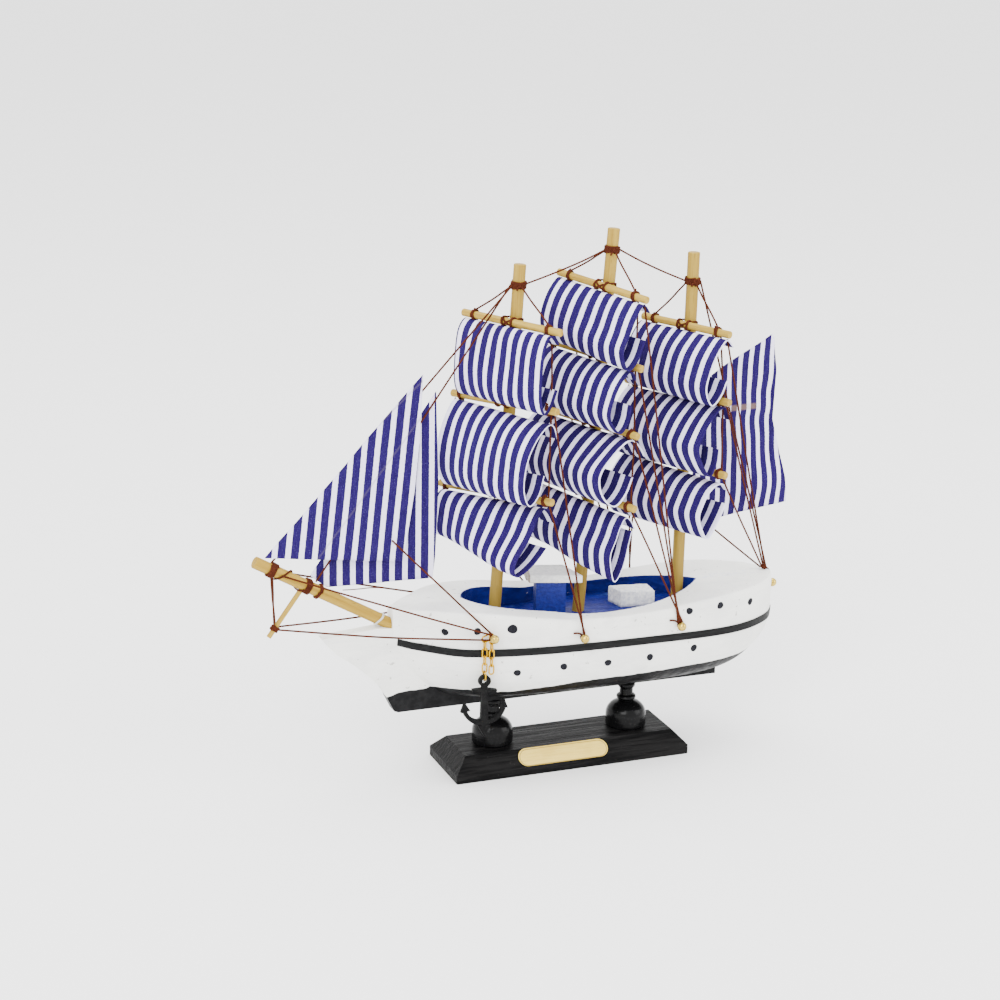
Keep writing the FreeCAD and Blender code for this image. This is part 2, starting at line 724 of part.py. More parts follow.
# Keel board: straight keel, swept stem and long beak, let into the hull.
keel_points = [
    (KEEL_AFT_X, DRAWN_KEEL_Z), (KEEL_AFT_X, KEEL_TOP_Z), (-40.0, 30.0), (-47.0, 42.0),
    (-52.0, 45.6), (-57.0, 46.1), (-73.2, 44.7), (-72.0, 43.0), (-69.1, 39.8),
    (-63.8, 35.9), (-59.1, 31.7), (-56.2, 28.7), (-54.3, 25.4), (-52.0, 20.7),
    (-50.9, DRAWN_KEEL_Z),
]
keel_outline = [V(x, -KEEL_THICK / 2, z) for x, z in keel_points]
keel = Part.Face(Part.makePolygon(keel_outline + [keel_outline[0]])).extrude(V(0, KEEL_THICK, 0))
keel = keel.cut(block)
keel = keel.cut(sprit_bore)
for tool in screw_tools:
    keel = keel.cut(tool)
keel = max(keel.Solids, key=lambda s: s.Volume)
save_ship("keel_board", keel)

# Black stripe and portholes: a thin skin over the hull side, cut to shape.
skin_outer = hull_body(SKIN)
skin_start = HULL_BOW_X + 1.4
half = WALE_WIDTH / 2
upper = [V(x, -30, z + half) for x, z in WALE if x > skin_start]
lower = [V(x, -30, z - half) for x, z in reversed(WALE) if x > skin_start]
first_z = table(WALE, skin_start, 1)
upper = [V(skin_start, -30, first_z + half)] + upper + [V(72, -30, WALE[-1][1] + half)]
lower = [V(72, -30, WALE[-1][1] - half)] + lower + [V(skin_start, -30, first_z - half)]
band = Part.Face(Part.makePolygon(upper + lower + [upper[0]])).extrude(V(0, 60, 0))
wale = skin_outer.common(band).cut(block)
save_ship("wale_stripe", wale)

PORTHOLES = [
    (-40.7, 46.4, PORTHOLE_R), (-32.1, 47.0, PORTHOLE_R), (-22.4, 47.4, PORTHOLE_BIG_R),
    (31.7, 47.3, PORTHOLE_R), (41.9, 47.6, PORTHOLE_R), (53.0, 46.6, PORTHOLE_R),
    (-20.6, 34.0, PORTHOLE_R), (-7.0, 34.8, PORTHOLE_R), (6.5, 34.5, PORTHOLE_R),
    (19.6, 34.7, PORTHOLE_R), (33.7, 35.7, PORTHOLE_R),
]

def hull_normal(x, side):
    """Outward direction of the upright hull side at x."""
    slope = (beam_at(x + 1.5) - beam_at(x - 1.5)) / 3.0
    return V(-slope, side, 0).normalize()


discs = []
for x, z, radius in PORTHOLES:
    for side in (-1, 1):
        # The hull side is found where a long pin at this height meets the block.
        probe = Part.makeLine(V(x, 0, z), V(x, side * 40, z)).common(block)
        face_y = side * max(abs(v.Point.y) for v in probe.Vertexes)
        way = hull_normal(x, side)
        start = V(x, face_y, z) - way * DISC_SUNK
        discs.append(Part.makeCylinder(radius, DISC_SUNK + DISC_PROUD, start, way))
save_ship("portholes", Part.makeCompound(discs))
for disc in discs:
    hull = hull.cut(disc)
save_ship("hull", hull)

# Deck fittings: crooked little cabin and a loose-cut box, standing on the well floor.
cabin = Part.makeBox(CABIN_LENGTH, CABIN_WIDTH, CABIN_HEIGHT, V(0, 0, 0))
cabin.rotate(V(0, 0, 0), V(0, 0, 1), CABIN_TURN)
cabin.translate(V(CABIN_CORNER[0], CABIN_CORNER[1], WELL_FLOOR_Z))
save_ship("deck_cabin", cabin)
roof_corners = [(-11.9, -3.2), (2.8, -8.0), (1.4, 3.4), (-10.2, 6.9)]
roof_low = [V(x, y, WELL_FLOOR_Z + CABIN_HEIGHT) for x, y in roof_corners]
roof = Part.Face(Part.makePolygon(roof_low + [roof_low[0]])).extrude(V(0, 0, ROOF_THICK))
save_ship("cabin_roof", roof.makeChamfer(0.2, roof.Edges))
box = Part.makeBox(BOX_LENGTH, BOX_WIDTH, BOX_HEIGHT, V(0, 0, 0))
box = box.makeChamfer(0.2, box.Edges)
box.rotate(V(0, 0, 0), V(0, 0, 1), BOX_TURN)
box.translate(V(BOX_CORNER[0], BOX_CORNER[1], WELL_FLOOR_Z))
save_ship("deck_box", box)

# Sticks.
for name, solid in mast_solids.items():
    save_ship("mast_" + name, solid)
save_ship("bowsprit", sprit)
k = (-78.7 - SPRIT_FOOT.x) / (SPRIT_TIP.x - SPRIT_FOOT.x)
striker_top = along(SPRIT_FOOT, SPRIT_TIP, k) - V(0, 0, SPRIT_R * 1.2)
striker = dowel(STRIKER_FOOT, striker_top, STRIKER_R, 0.15).cut(sprit)
save_ship("dolphin_striker", striker)
for key in YARDS:
    yard = dowel(yard_tip(key, -1), yard_tip(key, 1), YARD_R, 0.2)
    save_ship("yard_" + key, yard)
gaff_start = mast_at("mizzen", GAFF_Z)
gaff_turn = math.radians(SPANKER_SWING)
gaff_way = V(math.cos(gaff_turn), math.sin(gaff_turn), 0)
gaff_side = V(-math.sin(gaff_turn), math.cos(gaff_turn), 0)
gaff_start = gaff_start + gaff_side * (GAFF_R + CLOTH / 2)
gaff = dowel(gaff_start, gaff_start + gaff_way * GAFF_LENGTH, GAFF_R, 0.15)
gaff = gaff.cut(mast_solids["mizzen"])
save_ship("spanker_gaff", max(gaff.Solids, key=lambda s: s.Volume))

# Fore-and-aft sails.
save_ship("sail_outer_jib", flat_sail(OUTER_JIB, -JIB_Y))
save_ship("sail_inner_jib", flat_sail(INNER_JIB, JIB_Y))
spanker = flat_sail(SPANKER, 0)
mizzen_foot, mizzen_top = MASTS["mizzen"]
spanker.rotate(mast_at("mizzen", GAFF_Z), V(0, 0, 1), SPANKER_SWING)
save_ship("sail_spanker", spanker)


# Lashings: thread wound on the sticks.
def sleeve(centre, way, radius, length):
    """Short ring of wound thread around a stick."""
    start = centre - way * (length / 2)
    outer = Part.makeCylinder(radius + LASHING_R, length, start, way)
    inner = Part.makeCylinder(radius, length, start, way)
    ring = outer.cut(inner)
    return ring


mast_rings = []
for name, z in MAST_LASHING_Z.items():
    foot, top = MASTS[name]
    way = (top - foot).normalize()
    mast_rings.append(sleeve(mast_at(name, z), way, MAST_R, MAST_LASHING_LENGTH))
save_ship("mast_lashings", Part.makeCompound(mast_rings))

TIP_WRAP_INSET = {"_1": 4.4, "_2": 3.4, "_3": 2.6, "_4": 2.6}
yard_rings = []
cross_rings = []
for key in YARDS:
    centre, way, length = yard_frame(key)
    inset = TIP_WRAP_INSET[key[-2:]]
    for side in (-1, 1):
        ring = sleeve(yard_tip(key, side, inset), way, YARD_R, YARD_LASHING_LENGTH)
        yard_rings.append(ring.cut(make_sail(key)))
    mast = YARDS[key][0]
    foot, top = MASTS[mast]
    middle = mast_at(mast, YARDS[key][1])
    for shift in (-CROSS_LASHING_SHIFT, CROSS_LASHING_SHIFT):
        place = middle + SAIL_FRONT * YARD_OFFSET + way * shift
        ring = sleeve(place, way, YARD_R, CROSS_LASHING_LENGTH)
        ring = ring.cut(mast_solids[mast])
        cross_rings.append(ring.cut(make_sail(key)))
save_ship("yard_end_lashings", Part.makeCompound(yard_rings))
save_ship("yard_cross_lashings", Part.makeCompound(cross_rings))

SPRIT_WRAPS = [(-86.9, 2.6), (-76.8, 2.4), (-73.6, 1.4)]


def sprit_at(x):
    k = (x - SPRIT_FOOT.x) / (SPRIT_TIP.x - SPRIT_FOOT.x)
    return along(SPRIT_FOOT, SPRIT_TIP, k)


sprit_rings = [sleeve(sprit_at(x), sprit_way, SPRIT_R, w) for x, w in SPRIT_WRAPS]
striker_way = (striker_top - STRIKER_FOOT).normalize()
striker_wrap = STRIKER_FOOT + striker_way * STRIKER_LASHING_UP
sprit_rings.append(sleeve(striker_wrap, striker_way, STRIKER_R, STRIKER_LASHING_LENGTH))
sprit_rings[1] = sprit_rings[1].cut(striker)
save_ship("bowsprit_lashings", Part.makeCompound(sprit_rings))

# Threads.  Each runs from a lashing to a lashing or a pin.
def mast_lash(name, side_x=0.0, side_y=0.0):
    """Point beside a mast's lashing."""
    return mast_at(name, MAST_LASHING_Z[name]) + V(side_x, side_y, 0)


off_mast = MAST_R + THREAD_R
off_sprit = SPRIT_R + THREAD_R
stays = [
    cord([mast_lash("fore", -off_mast, -0.6), sprit_at(-86.9) + V(0, -0.3, off_sprit + 0.3)]),
    cord([mast_lash("fore", -off_mast, 0.6), sprit_at(-74.2) + V(0, 0.3, off_sprit + 0.3)]),
    cord([mast_lash("fore", off_mast), mast_lash("main", -off_mast)]),
    cord([mast_lash("main", off_mast), mast_lash("mizzen", -off_mast)]),
]
ties = mast_rings + yard_rings + sprit_rings + pins
stays = [trim(thread, ties) for thread in stays]
save_ship("stays", Part.makeCompound(stays))

lifts = []
on_yard = V(0, 0, YARD_R + THREAD_R)
for name in ("fore", "main", "mizzen"):
    key = name + "_1"
    for side in (-1, 1):
        start = mast_lash(name, 0, -side * off_mast)
        lifts.append(slotted_cord([start, yard_tip(key, side, 4.4) + on_yard]))
lifts = [trim(thread, ties) for thread in lifts]
save_ship("lifts", Part.makeCompound(lifts))


def yard_lines(side, pin_side):
    """Threads down one side: yard to yard on each mast, and down to the pins."""
    out = []
    back = SAIL_FRONT * (-YARD_R - THREAD_R)
    for name, count in (("fore", 3), ("main", 4), ("mizzen", 3)):
        for i in range(1, count):
            upper_key = name + "_" + str(i)
            lower_key = name + "_" + str(i + 1)
            upper = yard_tip(upper_key, side, TIP_WRAP_INSET["_" + str(i)]) + back
            lower = yard_tip(lower_key, side, TIP_WRAP_INSET["_" + str(i + 1)]) + back
            out.append(slotted_cord([upper, lower]))
    waist = pin_wrap("waist", pin_side)
    quarter = pin_wrap("quarter", pin_side)
    outward = V(0, pin_side * 0.3, 0)
    for i, key in enumerate(("fore_2", "fore_3")):
        hook = waist + V(0.4 * i, 0, 0) + outward
        out.append(slotted_cord([yard_tip(key, side, 1.0) - on_yard, hook]))
    for i, key in enumerate(("main_1", "main_2", "main_3", "main_4")):
        hook = quarter + V(0.5 * i - 0.75, 0, 0) + outward
        out.append(slotted_cord([yard_tip(key, side, 1.0) - on_yard, hook]))
    return out


port = [trim(thread, ties) for thread in yard_lines(1, -1)]
save_ship("port_lines", Part.makeCompound(port))
starboard = yard_lines(-1, 1)
quarter_starboard = pin_wrap("quarter", 1) + V(0, 0.3, 0)
for i, key in enumerate(("mizzen_1", "mizzen_2")):
    tip = yard_tip(key, -1, 1.0) - on_yard
    starboard.append(slotted_cord([tip, quarter_starboard + V(0.5 * i + 1.2, 0, 0)]))
starboard = [trim(thread, ties) for thread in starboard]
save_ship("starboard_lines", Part.makeCompound(starboard))

# Stern lines come together over the rail and drop to the stern pin.
rail = V(65.5, 0, STATIONS[-1][2] + 0.5)
stern_hook = stern_point + V(PIN_STANDOFF - 0.35, 0, PIN_SHANK_R + THREAD_R)
stern_lines = [slotted_cord([rail, V(66.9, 0, 50.4), stern_hook])]
stern_starts = [
    mast_lash("mizzen", off_mast, -0.8),
    yard_tip("mizzen_1", 1, 1.0) - on_yard,
    yard_tip("mizzen_2", 1, 1.0) - on_yard,
    yard_tip("mizzen_3", 1, 1.0) - on_yard,
    yard_tip("mizzen_3", -1, 2.2) - on_yard,
]
for i, start in enumerate(stern_starts):
    stern_lines.append(slotted_cord([start, rail + V(-0.3 * i, 0.35 * (i - 2), 0)]))
stern_lines = [trim(thread, ties + [hull]) for thread in stern_lines]
save_ship("stern_lines", Part.makeCompound(stern_lines))

# Bow lines: bowsprit, jib clew and striker to the bow pins.
bow_lines = []
for side in (-1, 1):
    hook = pin_wrap("bow", side)
    bow_lines.append(cord([sprit_at(-84.6) + V(0, side * off_sprit, 0), hook]))
    low = striker_wrap + V(0, side * (STRIKER_R + LASHING_R), 0)
    bow_lines.append(cord([low, hook - V(0, 0, 2 * PIN_SHANK_R + 2 * THREAD_R)]))
    side_wrap = V(0.4 * side, side * (STRIKER_R + THREAD_R), 0)
    bow_lines.append(cord([sprit_at(-86.9) - V(0, -side * 0.9, off_sprit), striker_wrap + side_wrap]))
bow_lines.append(cord([V(-52.6, -JIB_Y - CLOTH, 71.6), pin_wrap("bow", -1)]))
bow_lines = [trim(thread, ties + [hull] + discs) for thread in bow_lines]
save_ship("bow_lines", Part.makeCompound(bow_lines))

# Square sails, slotted for the threads and clear of the lashings below them.
for key in SAILS:
    save_ship("sail_" + key, trim(make_sail(key), slots + yard_rings))

# Chain over the bow pin, with the anchor on one end.
top_link = make_link(TOP_LINK_MID, False, TOP_LINK_LENGTH, TOP_LINK_WIDTH, TOP_LINK_LEAN)
save_ship("chain_top_link", top_link)
strand_top = STRAND_HINGE + V(0, 0, CHAIN_WIRE_R)
links, inside = strand(strand_top, LINKS_TO_ANCHOR, True)
end_width = ANCHOR_THICK + 4 * CHAIN_WIRE_R + 2 * CHAIN_GAP
end_top = inside + V(0, 0, 2 * CHAIN_WIRE_R + CHAIN_GAP)
end_middle = end_top - V(0, 0, END_LINK_LENGTH / 2)
links.append(make_link(end_middle, True, END_LINK_LENGTH, end_width))
save_ship("anchor_chain", Part.makeCompound(links))

tail_top = V(PIN_AXIS.x, TAIL_Y, PIN_AXIS.z + PIN_SHANK_R + CHAIN_GAP + 2 * CHAIN_WIRE_R)
tail, tail_end = strand(tail_top, LINKS_IN_TAIL, False)
save_ship("chain_tail", Part.makeCompound(tail))

end_inside = end_top.z - END_LINK_LENGTH + 2 * CHAIN_WIRE_R
# The eye's edges rest where the end link's inside curve is as wide as the anchor is thick.
bend = end_width / 2 - 2 * CHAIN_WIRE_R
rise = bend - math.sqrt(bend * bend - ANCHOR_THICK * ANCHOR_THICK / 4)
anchor_eye_z = end_inside + rise + CHAIN_GAP - ANCHOR_HOLE_R
save_ship("anchor", make_anchor(anchor_eye_z))
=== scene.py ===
import math
import random

import bpy
import numpy as np
from mathutils import Matrix, Vector


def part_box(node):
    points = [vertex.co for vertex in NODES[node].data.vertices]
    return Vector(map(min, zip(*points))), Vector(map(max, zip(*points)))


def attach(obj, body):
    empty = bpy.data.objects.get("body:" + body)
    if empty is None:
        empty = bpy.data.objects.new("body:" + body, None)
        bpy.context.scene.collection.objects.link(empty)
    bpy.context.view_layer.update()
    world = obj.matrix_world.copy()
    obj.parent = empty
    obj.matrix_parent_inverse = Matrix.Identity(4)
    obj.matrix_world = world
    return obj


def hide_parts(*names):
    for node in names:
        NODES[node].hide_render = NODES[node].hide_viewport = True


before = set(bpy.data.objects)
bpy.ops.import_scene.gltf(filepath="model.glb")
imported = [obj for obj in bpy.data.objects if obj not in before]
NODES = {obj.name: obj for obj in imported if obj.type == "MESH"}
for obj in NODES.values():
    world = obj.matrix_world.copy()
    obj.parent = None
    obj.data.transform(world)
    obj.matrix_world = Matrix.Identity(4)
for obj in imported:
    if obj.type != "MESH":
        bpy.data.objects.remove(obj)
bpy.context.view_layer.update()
MM = 0.001
random.seed(7)

# ------------------------------------------------------------------ sizes (mm)
THREAD_D = 0.62
THREAD_STEP = 0.18            # between points of a straight thread
KNOT_STEP = 0.15              # between points of a short, curled end
PLY_SHARE = 0.27              # radius of a ply, as a share of the thread
PLY_TURN = 1.5                # length of one turn of the plies
CLOTH = 0.28
STRIPE = 3.83                 # one blue and one white stripe
BLUE_FROM = 0.200             # share of a stripe pair from a white middle to blue
BRACE = math.radians(27.0)
SPRIT_R = 1.72
STRIKER_R = 0.7
MAST_R = 1.75
YARD_R = 1.08
YARD_OFFSET = 2.9
PIN_R = 0.4
TIP_INSET = 1.0               # where a thread leaves a yard, from its end
WRAP_BACK = 0.35              # thread on a pin sits this far inside the pin's reach
SIDES = ((1, "port"), (-1, "starboard"))

MASTS = {
    "fore": ((-21.03, 0, 48.1), (-15.01, 0, 147.3)),
    "main": ((4.99, 0, 44.8), (12.98, 0, 156.0)),
    "mizzen": ((36.45, 0, 44.0), (37.97, 0, 148.0)),
}
MAST_LASHING_Z = {"fore": 141.6, "main": 150.0, "mizzen": 139.8}
# mast, height, shift to port, tilt (port end down), length
YARDS = {
    "fore_1": ("fore", 131.5, 0.9, 0.7, 36.2),
    "fore_2": ("fore", 108.8, 0.4, -1.9, 39.5),
    "fore_3": ("fore", 82.6, -0.5, -3.7, 42.8),
    "main_1": ("main", 140.1, 0.1, 6.4, 32.6),
    "main_2": ("main", 120.5, -1.1, 5.0, 36.0),
    "main_3": ("main", 101.2, -1.4, 4.0, 38.6),
    "main_4": ("main", 80.6, -1.0, 4.0, 40.6),
    "mizzen_1": ("mizzen", 127.4, 0.7, 1.6, 31.4),
    "mizzen_2": ("mizzen", 107.8, -1.3, 0.8, 37.8),
    "mizzen_3": ("mizzen", 86.8, -2.0, 2.0, 39.4),
}
WRAP_INSET = {"1": 4.4, "2": 3.4, "3": 2.6, "4": 2.6}
SPRIT_TIP = Vector((-91.8, 0, 68.7))
SPRIT_FOOT = Vector((-52.6, 0, 46.5))
STRIKER_FOOT = Vector((-88.0, 0, 46.4))
SPRIT_WAY = (SPRIT_TIP - SPRIT_FOOT).normalized()
SAIL_FRONT = Vector((-math.cos(BRACE), -math.sin(BRACE), 0))


# ---------------------------------------------------------------------- camera
CAMERA_AT = Vector((-0.24638, -0.586653, 0.263107))
CAMERA_YAW = math.radians(21.11)
CAMERA_PITCH = math.radians(16.24)
CAMERA_ROLL = math.radians(0.87)
CAMERA_LENS = 83.25


def make_camera():
    forward = Vector((math.sin(CAMERA_YAW) * math.cos(CAMERA_PITCH),
                      math.cos(CAMERA_YAW) * math.cos(CAMERA_PITCH),
                      -math.sin(CAMERA_PITCH)))
    right = Vector((math.cos(CAMERA_YAW), -math.sin(CAMERA_YAW), 0))
    up = right.cross(forward)
    r = right * math.cos(CAMERA_ROLL) + up * math.sin(CAMERA_ROLL)
    u = up * math.cos(CAMERA_ROLL) - right * math.sin(CAMERA_ROLL)
    data = bpy.data.cameras.new("camera")
    data.lens = CAMERA_LENS
    data.sensor_width = 36
    data.clip_start = 0.01
    data.clip_end = 20
    cam = bpy.data.objects.new("camera", data)
    bpy.context.scene.collection.objects.link(cam)
    rows = Matrix((r, u, -forward)).transposed().to_4x4()
    rows.translation = CAMERA_AT
    cam.matrix_world = rows
    bpy.context.scene.camera = cam


make_camera()


# ------------------------------------------------------------------- materials
class Nodes:
    """Small helper that builds a node tree, one node per call."""

    def __init__(self, name):
        self.mat = bpy.data.materials.new(name)
        self.mat.use_nodes = True
        self.tree = self.mat.node_tree
        self.tree.nodes.clear()
        self.out = self.tree.nodes.new("ShaderNodeOutputMaterial")
        self.bsdf = self.tree.nodes.new("ShaderNodeBsdfPrincipled")
        self.link(self.bsdf.outputs[0], self.out.inputs[0])

    def link(self, a, b):
        self.tree.links.new(a, b)

    def feed(self, socket, value):
        if isinstance(value, bpy.types.NodeSocket):
            self.link(value, socket)
        elif value is not None:
            socket.default_value = value

    def shine(self, level):
        self.bsdf.inputs["Specular IOR Level"].default_value = level

    def set(self, **values):
        for key, value in values.items():
            self.feed(self.bsdf.inputs[key.replace("_", " ")], value)

    def coords(self):
        return self.tree.nodes.new("ShaderNodeTexCoord").outputs["Object"]

    def attribute(self, name):
        node = self.tree.nodes.new("ShaderNodeAttribute")
        node.attribute_name = name
        return node.outputs["Vector"]

    def mapping(self, vector, scale=(1, 1, 1), rotation=(0, 0, 0), location=(0, 0, 0)):
        node = self.tree.nodes.new("ShaderNodeMapping")
        self.link(vector, node.inputs["Vector"])
        node.inputs["Scale"].default_value = scale
        node.inputs["Rotation"].default_value = rotation
        node.inputs["Location"].default_value = location
        return node.outputs[0]

    def noise(self, vector, scale=1.0, detail=3.0, rough=0.5, distortion=0.0):
        node = self.tree.nodes.new("ShaderNodeTexNoise")
        self.link(vector, node.inputs["Vector"])
        node.inputs["Scale"].default_value = scale
        node.inputs["Detail"].default_value = detail
        node.inputs["Roughness"].default_value = rough
        node.inputs["Distortion"].default_value = distortion
        return node.outputs[0]

    def grain(self, place, scale, detail=3.0, rough=0.5, distortion=0.0, shift=(0, 0, 0)):
        """Noise stretched by its own scale along each axis."""
        return self.noise(self.mapping(place, scale=scale, location=shift), 1.0, detail, rough, distortion)

    def white(self, vector):
        node = self.tree.nodes.new("ShaderNodeTexWhiteNoise")
        self.link(vector, node.inputs["Vector"])
        return node.outputs["Value"]

    def split(self, vector):
        node = self.tree.nodes.new("ShaderNodeSeparateXYZ")
        self.link(vector, node.inputs[0])
        return node.outputs[0], node.outputs[1], node.outputs[2]

    def combine(self, x, y, z=0.0):
        node = self.tree.nodes.new("ShaderNodeCombineXYZ")
        for socket, value in zip(node.inputs, (x, y, z)):
            self.feed(socket, value)
        return node.outputs[0]

    def math(self, kind, a, b=None):
        node = self.tree.nodes.new("ShaderNodeMath")
        node.operation = kind
        for socket, value in zip(node.inputs, (a, b)):
            self.feed(socket, value)
        return node.outputs[0]

    def times(self, a, b):
        return self.math("MULTIPLY", a, b)

    def plus(self, a, b):
        return self.math("ADD", a, b)

    def minus(self, a, b):
        return self.math("SUBTRACT", a, b)

    def ramp(self, value, low, high, to_low=0.0, to_high=1.0):
        """Smooth step from low to high."""
        node = self.tree.nodes.new("ShaderNodeMapRange")
        node.interpolation_type = "SMOOTHSTEP"
        self.feed(node.inputs["Value"], value)
        node.inputs["From Min"].default_value = low
        node.inputs["From Max"].default_value = high
        node.inputs["To Min"].default_value = to_low
        node.inputs["To Max"].default_value = to_high
        return node.outputs[0]

    def curve(self, value, points, low, high):
        """Read a table of (x, y) points at value; x runs from low to high."""
        top = max(abs(y) for _, y in points)
        spread = self.tree.nodes.new("ShaderNodeMapRange")
        self.feed(spread.inputs["Value"], value)
        spread.inputs["From Min"].default_value = low
        spread.inputs["From Max"].default_value = high
        node = self.tree.nodes.new("ShaderNodeFloatCurve")
        self.link(spread.outputs[0], node.inputs["Value"])
        line = node.mapping.curves[0]
        while len(line.points) < len(points):
            line.points.new(0.5, 0.5)
        for p, (x, y) in zip(line.points, points):
            p.location = ((x - low) / (high - low), y / top)
        node.mapping.update()
        return self.times(node.outputs[0], top)

    def mix(self, factor, a, b):
        node = self.tree.nodes.new("ShaderNodeMix")
        node.data_type = "RGBA"
        node.clamp_factor = True
        self.feed(node.inputs[0], factor)
        for socket, value in ((node.inputs[6], a), (node.inputs[7], b)):
            if isinstance(value, tuple):
                value = (*value, 1.0)
            self.feed(socket, value)
        return node.outputs[2]

    def bump(self, height, distance, strength=1.0):
        node = self.tree.nodes.new("ShaderNodeBump")
        node.inputs["Strength"].default_value = strength
        node.inputs["Distance"].default_value = distance
        self.link(height, node.inputs["Height"])
        return node.outputs[0]


def rgb(r, g, b):
    """sRGB 0-255 to a linear colour."""
    out = []
    for c in (r, g, b):
        c = c / 255
        out.append(c / 12.92 if c <= 0.04045 else ((c + 0.055) / 1.055) ** 2.4)
    return tuple(out)


def cloth_material(name, phase, faded=0.0, painted_show_through=()):
    """Woven striped cotton. The attribute "cloth" is (across, along) in millimetres."""
    n = Nodes(name)
    place = n.attribute("cloth")
    x, y, _ = n.split(place)
    weft = n.math("FLOOR", n.times(y, 3.4))
    jitter = n.minus(n.white(n.combine(weft, 3.0)), 0.5)
    drift = n.minus(n.noise(n.combine(0.0, y, 2.0), 0.16, 2.0), 0.5)
    moved = n.plus(x, n.times(jitter, 0.07))
    moved = n.plus(moved, n.times(drift, 0.1))
    wave = n.math("PINGPONG", n.plus(moved, phase + 20 * STRIPE), STRIPE / 2)
    blue = n.ramp(wave, STRIPE * BLUE_FROM - 0.04, STRIPE * BLUE_FROM + 0.04)
    # single threads
    warp = n.math("SINE", n.times(x, 2 * math.pi * 3.1))
    fill = n.math("SINE", n.times(y, 2 * math.pi * 3.4))
    weave = n.times(warp, fill)
    slub = n.grain(place, (2.6, 0.35, 1), 3.0, 0.6)
    slub_across = n.grain(place, (0.4, 2.8, 1), 3.0, 0.6)
    fleck = n.grain(place, (3.2, 3.2, 1), 2.0, 0.7)
    soft = n.grain(place, (0.12, 0.12, 1), 2.0)
    blue_dark = n.mix(n.ramp(slub, 0.35, 0.7), (0.0125, 0.0046, 0.060), (0.0205, 0.0090, 0.090))
    specks = n.ramp(n.plus(fleck, n.times(weave, 0.05)), 0.60, 0.74)
    blue_tone = n.mix(n.times(specks, 0.24 + faded), blue_dark, (0.33, 0.32, 0.66))
    white_tone = n.mix(n.ramp(slub_across, 0.3, 0.75), (0.77, 0.73, 0.97), (0.88, 0.84, 1.00))
    white_tone = n.mix(n.times(n.ramp(soft, 0.4, 0.7), 0.25), white_tone, (0.66, 0.66, 0.84))
    colour = n.mix(blue, white_tone, blue_tone)
    for (ax, ay), (bx, by), half, shade in painted_show_through:
        # painted shade: something dark close behind the cloth is painted into its colour as a soft line, standing
        # in for what shows through the thin cloth
        length = math.hypot(bx - ax, by - ay)
        wx, wy = (bx - ax) / length, (by - ay) / length
        offset = n.plus(n.times(x, wy), n.times(y, -wx))
        offset = n.math("ABSOLUTE", n.minus(offset, ax * wy - ay * wx))
        run = n.plus(n.times(x, wx), n.times(y, wy))
        run = n.minus(run, ax * wx + ay * wy)
        near = n.times(n.ramp(offset, half * 1.5, half * 0.6), n.ramp(run, -0.4, 0.4))
        near = n.times(near, n.ramp(run, length + 0.4, length - 0.4))
        colour = n.mix(n.times(near, 0.30), colour, shade)
    n.set(Base_Color=colour, Roughness=0.92)
    n.shine(0.06)
    height = n.plus(n.times(weave, 0.5), n.times(slub, 0.7))
    n.set(Normal=n.bump(height, 0.00008, 0.9))
    return n.mat


def wood_material(name, way, light, dark, gloss=0.45, olive_and_shade=0.0):
    """Pale dowel wood with long fibres along way."""
    n = Nodes(name)
    turn = Vector(way).normalized().rotation_difference(Vector((0, 0, 1))).to_euler()
    local = n.mapping(n.coords(), rotation=tuple(turn))
    fibre = n.grain(local, (3600, 3600, 120), 4.0, 0.6)
    streak = n.grain(local, (900, 900, 26), 3.0, 0.55, 0.4)
    pores = n.grain(local, (5200, 5200, 300), 1.0, 0.5)
    blotch = n.grain(local, (160, 160, 60), 2.0)
    tone = n.mix(n.ramp(streak, 0.35, 0.68), light, dark)
    tone = n.mix(n.times(n.ramp(fibre, 0.52, 0.72), 0.45), tone, dark)
    pore = n.ramp(pores, 0.66, 0.76)
    tone = n.mix(n.times(pore, 0.55), tone, tuple(c * 0.38 for c in dark))
    tone = n.mix(n.times(n.ramp(blotch, 0.45, 0.7), 0.25), tone, tuple(c * 0.8 for c in light))
    # masts darker and more olive towards their feet: partly the wood's own colour, partly painted shade low on
    # the masts
    if olive_and_shade:
        _, _, z = n.split(n.coords())
        low = n.times(n.ramp(z, 0.075, 0.045), olive_and_shade)
        tone = n.mix(low, tone, (0.20, 0.135, 0.032))
    rough = n.ramp(fibre, 0.3, 0.8, gloss, gloss + 0.2)
    n.set(Base_Color=tone, Roughness=rough)
    n.shine(0.12)
    height = n.plus(n.times(fibre, 0.6), n.times(pore, -0.8))
    n.set(Normal=n.bump(height, 0.00006, 0.8))
    return n.mat


def thread_material():
    n = Nodes("thread_brown")
    place = n.coords()
    fine = n.grain(place, (5000, 5000, 5000), 2.0, 0.6)
    broad = n.grain(place, (260, 260, 260), 2.0)
    tone = n.mix(n.ramp(fine, 0.35, 0.7), (0.050, 0.0105, 0.0050), (0.125, 0.032, 0.014))
    tone = n.mix(n.times(n.ramp(broad, 0.4, 0.7), 0.45), tone, (0.055, 0.014, 0.007))
    n.set(Base_Color=tone, Roughness=0.8)
    n.shine(0.05)
    n.set(Normal=n.bump(fine, 0.00004, 0.7))
    return n.mat


def pale_thread_material():
    n = Nodes("thread_pale")
    fine = n.grain(n.coords(), (5000, 5000, 5000), 2.0, 0.6)
    n.set(Base_Color=n.mix(n.ramp(fine, 0.35, 0.7), rgb(196, 196, 190), rgb(238, 238, 234)), Roughness=0.7)
    n.set(Normal=n.bump(fine, 0.00004, 0.6))
    return n.mat


